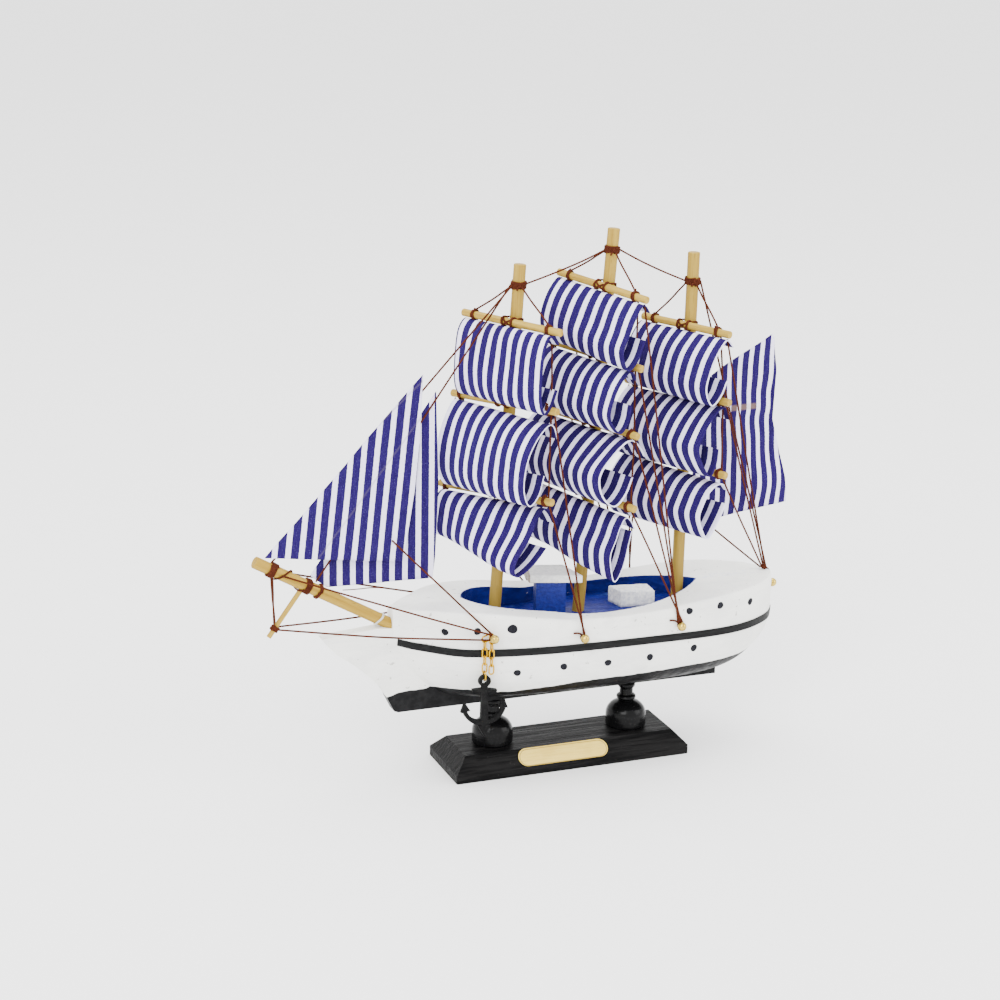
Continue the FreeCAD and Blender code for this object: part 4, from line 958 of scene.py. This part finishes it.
# a loose brown end by the inner jib and a pale loop round the bowsprit's root
loose = Bundle()
LOOSE_END = [(-66.0, 1.6, 57.4), (-62, 1.2, 57.3), (-57, 0.8, 57.6), (-53.6, 0.4, 57.0)]
loose.add([Vector(p) for p in LOOSE_END], step=KNOT_STEP, diameter=0.36)
finish_piece(loose.make("loose_end"), "ship", "thread_brown")
pale = Bundle()
root = sprit_at(-56.0)
aslant = SPRIT_WAY + Vector((0.35, 0, -0.1))
pale.add(winding(root, aslant, SPRIT_R + 0.1, 0.9, 2, 150, 0.6, 0.3), smooth=False, diameter=0.3)
finish_piece(pale.make("pale_loop", PALE_THREAD), "ship", "thread_brown")


# ------------------------------------------------------------------ square sails
# Side view of the port and of the starboard edge, (forward, up) from the yard's axis:
# flap end, flap bend, crest, shoulder, belly, low belly, bottom, fold, lower edge.
SAILS = {
    "fore_1": (33.6, 0.2,
     [(-0.8, -3.6), (0.9, -1.7), (2.6, -1.0), (4.4, -3.8), (5.9, -10.8),
      (6.3, -18.2), (4.3, -22.4), (1.4, -20.6), (-0.8, -16.4)],
     [(-2.5, -4.5), (-0.6, -1.8), (1.5, -1.7), (3.8, -5.0), (5.2, -13.4),
      (4.8, -19.4), (2.6, -22.6), (0.0, -21.0), (-1.2, -17.0)]),
    "fore_2": (34.6, 1.2,
     [(-3.0, -8.5), (-1.6, -5.0), (0.8, -4.1), (5.5, -7.0), (9.0, -12.5),
      (10.4, -20.6), (8.1, -25.7), (4.2, -23.2), (2.2, -18.1)],
     [(-2.0, -4.8), (0.2, -1.9), (2.4, -1.6), (6.2, -6.0), (8.6, -13.0),
      (8.9, -20.0), (5.6, -25.3), (2.6, -23.5), (0.8, -18.8)]),
    "fore_3": (34.8, 0.6,
     [(-7.2, -8.1), (-4.6, -4.4), (-1.2, -2.7), (1.8, -5.4), (4.8, -10.1),
      (10.2, -16.6), (9.2, -20.2), (3.4, -18.2), (-2.0, -14.2)],
     [(-1.0, -3.6), (0.8, -1.7), (4.0, -1.0), (6.6, -3.6), (7.6, -7.5),
      (7.5, -11.3), (5.2, -13.6), (2.0, -12.6), (-0.5, -9.4)]),
    "main_1": (31.6, 2.0,
     [(-1.9, -3.9), (0.0, -1.8), (1.8, -1.7), (4.2, -5.0), (6.6, -9.5),
      (9.1, -13.9), (7.0, -18.9), (2.6, -16.6), (-0.5, -11.6)],
     [(-2.2, -4.6), (-0.4, -1.8), (1.6, -1.6), (5.0, -4.6), (7.4, -9.6),
      (7.7, -14.0), (5.2, -18.3), (2.0, -16.8), (0.2, -12.4)]),
    "main_2": (34.0, 0.4,
     [(1.3, -3.2), (2.4, -1.2), (4.6, -0.6), (8.0, -3.2), (10.2, -6.8),
      (11.7, -12.4), (7.8, -17.3), (4.4, -14.8), (2.8, -10.2)],
     [(-2.0, -4.6), (0.0, -1.8), (2.2, -1.6), (6.0, -4.2), (8.8, -9.2),
      (9.4, -13.2), (6.0, -18.0), (2.6, -16.2), (0.6, -11.8)]),
    "main_3": (34.6, 1.5,
     [(-5.8, -7.3), (-2.6, -3.2), (1.4, -1.6), (8.6, -5.0), (13.8, -9.6),
      (12.4, -15.6), (7.2, -19.4), (2.2, -17.0), (-1.0, -12.5)],
     [(-2.0, -4.6), (0.0, -1.8), (2.2, -1.6), (6.2, -4.6), (8.9, -9.8),
      (9.3, -14.0), (6.2, -19.2), (2.6, -17.4), (0.6, -12.6)]),
    "main_4": (35.2, 0.9,
     [(-3.4, -7.2), (-1.8, -4.6), (0.4, -3.2), (2.4, -5.4), (4.2, -9.0),
      (7.1, -13.7), (5.4, -21.0), (0.6, -16.5), (-2.7, -7.8)],
     [(-2.0, -4.6), (0.0, -1.9), (2.0, -1.8), (4.8, -5.0), (6.6, -9.4),
      (6.6, -13.2), (4.4, -16.8), (1.4, -14.4), (-1.0, -9.0)]),
    "mizzen_1": (31.4, 3.0,
     [(-1.8, -3.8), (0.0, -1.9), (1.9, -1.7), (6.4, -5.8), (9.0, -10.4),
      (9.9, -14.8), (7.0, -19.3), (3.0, -17.2), (0.4, -13.2)],
     [(-2.0, -4.4), (-0.2, -1.8), (1.8, -1.7), (5.6, -5.2), (8.0, -10.4),
      (8.4, -14.4), (5.6, -19.0), (2.2, -17.2), (0.4, -13.0)]),
    "mizzen_2": (34.2, 1.0,
     [(-3.3, -5.9), (-1.4, -2.6), (1.2, -1.8), (6.2, -4.6), (9.8, -8.6),
      (11.2, -13.0), (5.8, -20.8), (3.0, -18.0), (2.2, -13.5)],
     [(-2.2, -4.8), (-0.2, -1.9), (1.8, -1.8), (5.8, -4.8), (8.6, -9.4),
      (9.2, -14.0), (5.4, -20.4), (2.6, -17.8), (1.0, -13.4)]),
    "mizzen_3": (34.8, 2.4,
     [(-4.3, -5.7), (-2.2, -3.6), (0.6, -3.1), (4.0, -4.4), (7.0, -7.6),
      (8.8, -11.8), (4.6, -18.4), (-0.4, -14.6), (-3.8, -9.6)],
     [(-2.2, -4.8), (-0.2, -1.9), (1.8, -1.8), (5.2, -4.6), (7.6, -9.0),
      (8.0, -13.0), (4.6, -18.4), (0.6, -15.6), (-2.0, -10.6)]),
}


def catmull(points, steps):
    """Smooth line through points, as an array."""
    pts = np.array(points, float)
    out = []
    last = len(pts) - 1
    for i in range(last):
        p0, p1 = pts[max(i - 1, 0)], pts[i]
        p2, p3 = pts[i + 1], pts[min(i + 2, last)]
        for s in range(steps):
            t = s / steps
            out.append(0.5 * (2 * p1 + (p2 - p0) * t + (2 * p0 - 5 * p1 + 4 * p2 - p3) * t ** 2
                              + (3 * p1 - p0 - 3 * p2 + p3) * t ** 3))
    out.append(pts[-1])
    return np.array(out)


def even(points, count):
    """The same line with evenly spaced points."""
    seg = np.linalg.norm(np.diff(points, axis=0), axis=1)
    s = np.concatenate([[0], np.cumsum(seg)])
    at = np.linspace(0, s[-1], count)
    return np.stack([np.interp(at, s, points[:, k]) for k in range(points.shape[1])], 1), s[-1]


def wrinkle(u, v, seed):
    """Slow, small unevenness of stiff cloth, in millimetres."""
    a = math.sin(0.31 * u + 0.9 * seed) * math.sin(0.23 * v + 1.3 * seed)
    b = math.sin(0.17 * u - 0.29 * v + 2.1 * seed)
    c = math.sin(0.52 * u + 0.11 * v + 0.7 * seed)
    return 0.22 * a + 0.16 * b + 0.06 * c


def cloth_object(name, grid, across, along, material, thick=CLOTH):
    """Sheet from a grid of points, with cloth coordinates in millimetres."""
    rows, cols = len(grid), len(grid[0])
    verts = [tuple(grid[i][j]) for i in range(rows) for j in range(cols)]
    faces = []
    for i in range(rows - 1):
        for j in range(cols - 1):
            a = i * cols + j
            faces.append((a, a + 1, a + cols + 1, a + cols))
    obj = new_object(name, verts, faces, material)
    place = obj.data.attributes.new("cloth", "FLOAT_VECTOR", "POINT")
    flat = []
    for i in range(rows):
        for j in range(cols):
            flat += [across[i][j], along[i][j], 0.0]
    place.data.foreach_set("vector", flat)
    solid = obj.modifiers.new("thickness", "SOLIDIFY")
    solid.thickness = thick * MM
    solid.offset = 0.0
    return obj


COLS = 49
ROWS = 57


def make_square_sail(key, index):
    width, phase, port, starboard = SAILS[key]
    centre, way, length = yard_frame(key)
    mast = YARDS[key][0]
    lines = []
    lengths = []
    for numbers in (port, starboard):
        line, total = even(catmull(numbers, 8), ROWS)
        lines.append(line)
        lengths.append(total)
    grid = [[None] * COLS for _ in range(ROWS)]
    across = [[0.0] * COLS for _ in range(ROWS)]
    along = [[0.0] * COLS for _ in range(ROWS)]
    tall = (lengths[0] + lengths[1]) / 2
    for j in range(COLS):
        k = j / (COLS - 1)                    # 0 at port, 1 at starboard
        u = (0.5 - k) * width                 # towards port
        smooth_k = k * k * (3 - 2 * k) * 0.5 + k * 0.5
        profile = lines[0] * (1 - smooth_k) + lines[1] * smooth_k
        bulge = 1 + 0.05 * math.sin(math.pi * k)
        for i in range(ROWS):
            v = i / (ROWS - 1)
            forward, up = profile[i]
            forward = forward * (bulge if forward > 0 else 1.0)
            w = wrinkle(u, v * tall, index + 1)
            edge = max(0.0, 1 - min(k, 1 - k) * 9)
            lift = w * (0.25 + 0.75 * min(1.0, 4 * v)) + 0.16 * edge * math.sin(9 * v + index)
            if v < 0.25:
                lift *= v / 0.25
            point = centre + way * u + SAIL_FRONT * (forward + lift) + Vector((0, 0, up + 0.3 * lift))
            # the mast stands behind the cloth, and pushes the turned-in parts forward
            axis = mast_at(mast, point.z)
            rel = point - axis
            beside = abs(rel.dot(Vector((way.x, way.y, 0)).normalized()))
            ahead = rel.dot(SAIL_FRONT)
            reach = MAST_R + 0.45 - max(0.0, beside - 1.4) * 1.15
            if beside < 6.0 and ahead < reach:
                point += SAIL_FRONT * (reach - ahead) * min(1.0, (6.0 - beside) / 1.5)
            grid[i][j] = point
            across[i][j] = u
            along[i][j] = v * tall
    name = f"cloth_{key}"
    material = cloth_material(f"striped_cloth_{key}", phase)
    obj = cloth_object(name, grid, across, along, material)
    finish_piece(obj, "ship", "striped_cloth", f"sail_{key}")


for index, key in enumerate(SAILS):
    make_square_sail(key, index)


# ------------------------------------------------------------- fore-and-aft sails
def column_range(outline, x):
    """Lowest and highest height of the outline at x."""
    hits = []
    for (xa, za), (xb, zb) in zip(outline, outline[1:] + outline[:1]):
        if xa == xb:
            continue
        if min(xa, xb) - 1e-9 <= x <= max(xa, xb) + 1e-9:
            hits.append(za + (zb - za) * (x - xa) / (xb - xa))
    return min(hits), max(hits)


def make_upright_sail(name, node, outline, place, stripe, columns,
                      rows=40, lean=0.0, stretch=1.0, painted_show_through=()):
    """Sheet cut to an outline: columns at even steps, each split from foot to head."""
    xs = [p[0] for p in outline]
    low_x, high_x = min(xs) + 1e-4, max(xs) - 1e-4
    grid = [[None] * columns for _ in range(rows)]
    across = [[0.0] * columns for _ in range(rows)]
    along = [[0.0] * columns for _ in range(rows)]
    for j in range(columns):
        x = low_x + (high_x - low_x) * j / (columns - 1)
        low_z, high_z = column_range(outline, x)
        for i in range(rows):
            z = low_z + (high_z - low_z) * i / (rows - 1)
            grid[i][j] = place(x, z)
            across[i][j] = (x + lean * z) * stretch
            along[i][j] = z
    material = cloth_material(f"striped_{name}", stripe, 0.06, painted_show_through)
    obj = cloth_object(name, grid, across, along, material)
    finish_piece(obj, "ship", "striped_cloth", node)
    return obj


OUTER_JIB = [(-89.1, 69.9), (-49.1, 64.9), (-44.6, 92.0), (-43.6, 118.4)]
INNER_JIB = [(-75.6, 62.8), (-70.9, 58.9), (-39.2, 58.5), (-38.2, 86.0), (-38.7, 113.0)]
SPANKER = [(40.1, 66.8), (55.0, 68.4), (72.8, 70.6), (69.8, 88.0), (66.2, 101.0),
           (67.4, 108.0), (65.2, 122.6), (50.8, 114.5), (40.4, 108.2)]


JIB_OUT = 1.1                 # each jib lies this far to one side of its stay


def outer_place(x, z):
    belly = 0.5 * math.sin(0.10 * (x + 89)) * math.sin(0.07 * (z - 64))
    y = -JIB_OUT - belly - 0.12 * math.sin(0.4 * x + 0.1 * z)
    return Vector((x, y, z))


def inner_place(x, z):
    belly = 0.4 * math.sin(0.12 * (x + 80)) * math.sin(0.06 * (z - 58))
    y = JIB_OUT + belly + 0.10 * math.sin(0.33 * x - 0.12 * z)
    return Vector((x, y, z))


SPANKER_SWING = math.radians(5.0)


def spanker_place(x, z):
    pivot = mast_at("mizzen", 101.0)
    away = x - pivot.x
    free = max(0.0, min(1.0, (away - 4) / 22))
    wave = 0.95 * math.sin(0.155 * (z - 64) + 0.10 * away) + 0.40 * math.sin(0.40 * (z - 90) - 0.1 * away)
    at_gaff = math.exp(-((z - 101.0) / 4.0) ** 2)
    side = wave * free * (1 - at_gaff) - 0.25 * at_gaff
    along = away + 0.30 * free * math.sin(0.16 * (z - 70))
    return Vector((pivot.x + along * math.cos(SPANKER_SWING) - side * math.sin(SPANKER_SWING),
                   pivot.y + along * math.sin(SPANKER_SWING) + side * math.cos(SPANKER_SWING), z))


# painted shade: the stays and the gaff close behind the cloth, painted into the cloth's colour as soft lines
STAY_SHADE = (0.10, 0.08, 0.12)
STICK_SHADE = (0.42, 0.27, 0.10)
make_upright_sail("cloth_outer_jib", "sail_outer_jib", OUTER_JIB, outer_place, 1.65,
                  56, lean=-0.103,
                  painted_show_through=[((-96.3, 76.2), (-15.9 - 0.103 * 141.6, 141.6), 0.3, STAY_SHADE),
                         ((-74.2 - 0.103 * 68.0, 68.0), (-15.9 - 0.103 * 141.6, 141.6), 0.3, STAY_SHADE)])
make_upright_sail("cloth_inner_jib", "sail_inner_jib", INNER_JIB, inner_place, 1.9,
                  50, lean=0.0)
make_upright_sail("cloth_spanker", "sail_spanker", SPANKER, spanker_place, 0.4,
                  50, lean=0.02, stretch=1.13,
                  painted_show_through=[((41.0 * 1.13 + 2.0, 101.0), (61.5 * 1.13 + 2.0, 101.0), 0.8, STICK_SHADE)])


# --------------------------------------------------------------------- portholes
PORTHOLES = [
    (-40.7, 46.4, 0.85), (-32.1, 47.0, 0.85), (-22.4, 47.4, 1.15), (31.7, 47.3, 0.85), (41.9, 47.6, 0.85),
    (53.0, 46.6, 0.85), (-20.6, 34.0, 0.85), (-7.0, 34.8, 0.85), (6.5, 34.5, 0.85), (19.6, 34.7, 0.85),
    (33.7, 35.7, 0.85),
]


# share of the radius, height over the hull
DOT_RINGS = ((1.0, -0.02), (0.97, 0.09), (0.8, 0.14), (0.4, 0.17))
DOT_HEIGHT = 0.18
DOT_SPREAD = 1.24             # painted dots run a little past their pockets


def make_portholes():
    """Hand-painted dots that follow the hull side: slightly uneven, thick paint."""
    hull = NODES["hull"]
    inverse = hull.matrix_world.inverted()
    turn = inverse.to_3x3()

    def on_hull(point, way):
        """Point where a line along way meets the hull, in millimetres."""
        start = inverse @ Vector(point * MM)
        hit, place, normal, _ = hull.ray_cast(start, (turn @ way).normalized())
        return (hull.matrix_world @ place) / MM, hull.matrix_world.to_3x3() @ normal

    verts = []
    faces = []
    around = 24
    for number, (x, z, radius) in enumerate(PORTHOLES):
        for side in (-1, 1):
            rng = random.Random(500 + number * 2 + side)
            inward = Vector((0, -side, 0))
            beside, normal = on_hull(Vector((x + radius * 1.5, side * 40.0, z)), inward)
            normal = normal.normalized()
            across = normal.cross(Vector((0, 0, 1))).normalized()
            up = across.cross(normal)
            first, second = rng.uniform(0, 6.28), rng.uniform(0, 6.28)
            rim = []
            for k in range(around):
                t = 2 * math.pi * k / around
                r = radius * (DOT_SPREAD + 0.07 * math.sin(2 * t + first) + 0.04 * math.sin(3 * t + second))
                away = across * math.cos(t) + up * math.sin(t)
                start = Vector((x, beside.y, z)) + away * r + normal * 3
                place, _ = on_hull(start, -normal)
                rim.append(place)
            centre = sum(rim, Vector()) / around
            base = len(verts)
            rings = [(share, lift, place) for share, lift in DOT_RINGS for place in rim]
            for share, lift, place in rings + [(0.0, DOT_HEIGHT, centre)]:
                chord = centre.lerp(place, share)
                below, _ = on_hull(chord + normal * 3, -normal)
                proud = max(0.0, (below - chord).dot(normal))
                verts.append(chord + normal * (proud + lift))
            for ring in range(3):
                for k in range(around):
                    a = base + ring * around + k
                    b = base + ring * around + (k + 1) % around
                    faces.append((a, b, b + around, a + around))
            last = base + 3 * around
            for k in range(around):
                faces.append((last + k, last + (k + 1) % around, base + 4 * around))
    dots = new_object("painted_portholes", verts, faces, disc_material())
    finish_piece(dots, "ship", "stripe_black", "portholes")


# ---------------------------------------------------------------------- deck box
BOX_PLAN = [(17.9, -1.6), (27.7, -3.8), (28.3, 3.0), (16.5, 4.9)]
BOX_LOW = 44.3
BOX_TOP = 49.1


def make_box(material):
    """Loose-cut block: slanted ends, rounded rims and a slightly lumpy skin."""
    cuts = 12
    corners = [Vector((x, y, 0)) for x, y in BOX_PLAN]
    middle = sum(corners, Vector()) / 4
    plan = []
    for a, b in zip(corners, corners[1:] + corners[:1]):
        plan += [a.lerp(b, 0.03 + 0.94 * k / cuts) for k in range(cuts + 1)]
    levels = [(BOX_LOW, 1.0), (BOX_LOW + 1.2, 1.0), (BOX_LOW + 2.4, 1.0), (BOX_LOW + 3.6, 1.0),
              (BOX_TOP - 0.35, 0.995), (BOX_TOP - 0.10, 0.985), (BOX_TOP, 0.955), (BOX_TOP, 0.6), (BOX_TOP, 0.25)]
    verts = []
    for z, share in levels:
        for p in plan:
            q = middle.lerp(p, share)
            lump = 0.07 * math.sin(1.9 * q.x + 1.1 * z) * math.sin(1.7 * q.y + 0.8 * z)
            out = (q - middle).normalized()
            rise = 0.05 * math.sin(1.3 * q.x) if z > BOX_LOW else 0
            verts.append(tuple(q + out * lump + Vector((0, 0, z + rise))))
    around = len(plan)
    faces = []
    for ring in range(len(levels) - 1):
        for k in range(around):
            a = ring * around + k
            b = ring * around + (k + 1) % around
            faces.append((a, b, b + around, a + around))
    verts.append((middle.x, middle.y, BOX_TOP))
    last = (len(levels) - 1) * around
    for k in range(around):
        faces.append((last + k, last + (k + 1) % around, len(verts) - 1))
    faces.append(tuple(range(around))[::-1])
    block = new_object("loose_cut_box", verts, faces, material)
    finish_piece(block, "ship", "white_wood", "deck_box")


# --------------------------------------------------- finishes of the carried parts
TAN = (0.35, 0.232, 0.038)
TAN_DARK = (0.25, 0.152, 0.018)
PALE_TAN = (0.40, 0.268, 0.046)
PALE_TAN_DARK = (0.29, 0.178, 0.023)
WOOD_GLOSS = 0.46
BEAD = 0.17                   # extra thickness of the painted stripe


def dress(node, material):
    obj = NODES[node]
    obj.data.materials.clear()
    obj.data.materials.append(material)


for name, (foot, top) in MASTS.items():
    way = Vector(top) - Vector(foot)
    mast_wood = wood_material("dowel_" + name, way, TAN, TAN_DARK, WOOD_GLOSS, olive_and_shade=0.65)
    dress("mast_" + name, mast_wood)
yard_way = (math.sin(BRACE), -math.cos(BRACE), -0.03)
yard_wood = wood_material("dowel_yards", yard_way, PALE_TAN, PALE_TAN_DARK, WOOD_GLOSS)
for key in YARDS:
    dress("yard_" + key, yard_wood)
STICKS = [
    ("bowsprit", "dowel_bowsprit", SPRIT_WAY, (0.355, 0.225, 0.028), (0.25, 0.147, 0.015), 0.44),
    ("dolphin_striker", "dowel_striker", STRIKER_WAY, PALE_TAN, PALE_TAN_DARK, WOOD_GLOSS),
    ("spanker_gaff", "dowel_gaff", (1, 0.09, 0), PALE_TAN, PALE_TAN_DARK, WOOD_GLOSS),
]
for node, *wood in STICKS:
    dress(node, wood_material(*wood))

dress("hull", hull_material("hull_paint", True))
dress("keel_board", hull_material("keel_paint", False))
dress("wale_stripe", stripe_material())
# The stripe is a raised bead of thick paint, a little fuller than its plain skin.
weld = NODES["wale_stripe"].modifiers.new("weld", "WELD")
weld.merge_threshold = 0.02 * MM
bead = NODES["wale_stripe"].modifiers.new("bead", "DISPLACE")
bead.mid_level = 0.0
bead.strength = BEAD * MM
make_portholes()
dress("stand_base", black_wood_material())
gloss = gloss_black_material()
dress("post_fore", gloss)
dress("post_aft", gloss)
steel = metal_material("screw_steel", rgb(150, 150, 148), rgb(110, 110, 110), 0.35)
dress("stand_screws", steel)
dress("name_plate", plate_material(*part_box("name_plate")))
brass = metal_material("pin_brass", (0.56, 0.40, 0.085), (0.34, 0.23, 0.035), 0.12)
dress("rigging_pins", brass)
gold = metal_material("chain_gold", (0.56, 0.33, 0.006), (0.40, 0.22, 0.004), 0.16)
for node in ("chain_top_link", "anchor_chain", "chain_tail"):
    dress(node, gold)
dress("anchor", cast_black_material())
# name, light, dark and bare tones, share that is bare, seed, bare end
cabin_paint = ("cabin_blue", (0.0085, 0.016, 0.17), (0.0055, 0.009, 0.11), (0.10, 0.18, 0.42), 0.0, 1.0)
roof_paint = ("roof_white", (0.74, 0.74, 0.71), (0.60, 0.60, 0.59), (0.50, 0.36, 0.25), 0.02, 4.0, BARE_ROOF)
box_paint = ("box_white", (0.90, 0.90, 0.88), (0.62, 0.63, 0.68), (0.30, 0.18, 0.10), 0.06, 9.0, BARE_BOX)
dress("deck_cabin", painted_wood_material(*cabin_paint))
dress("cabin_roof", painted_wood_material(*roof_paint))
make_box(painted_wood_material(*box_paint))


# ---------------------------------------------------------------- floor and light
FLOOR_HALF = 6                # metres
ROOM_LIGHT = 2.6


def make_floor():
    n = Nodes("floor")
    fine = n.grain(n.coords(), (30, 30, 30), 2.0)
    n.set(Base_Color=n.mix(fine, (0.93, 0.93, 0.93), (0.95, 0.95, 0.95)), Roughness=0.9)
    n.shine(0.1)
    mesh = bpy.data.meshes.new("floor")
    h = FLOOR_HALF
    mesh.from_pydata([(-h, -h, 0), (h, -h, 0), (h, h, 0), (-h, h, 0)], [], [(0, 1, 2, 3)])
    mesh.materials.append(n.mat)
    floor = bpy.data.objects.new("floor", mesh)
    bpy.context.scene.collection.objects.link(floor)


def area_light(name, place, aim, size, power):
    data = bpy.data.lights.new(name, "AREA")
    data.shape = "RECTANGLE"
    data.size = size[0]
    data.size_y = size[1]
    data.energy = power
    light = bpy.data.objects.new(name, data)
    bpy.context.scene.collection.objects.link(light)
    light.location = place
    light.rotation_mode = "QUATERNION"
    light.rotation_quaternion = (Vector(aim) - Vector(place)).to_track_quat("-Z", "Y")


def make_world():
    world = bpy.data.worlds.new("studio")
    bpy.context.scene.world = world
    world.use_nodes = True
    back = world.node_tree.nodes["Background"]
    back.inputs["Color"].default_value = (1.0, 1.0, 1.0, 1.0)
    back.inputs["Strength"].default_value = ROOM_LIGHT


make_floor()
make_world()
AIM = (0.0, 0.0, 0.07)
area_light("key", (-0.55, -0.75, 0.75), AIM, (0.6, 0.6), 12.0)
area_light("fill", (0.85, -0.55, 0.45), AIM, (0.6, 0.6), 5.0)
area_light("top", (0.05, 0.1, 1.1), AIM, (0.9, 0.7), 9.0)
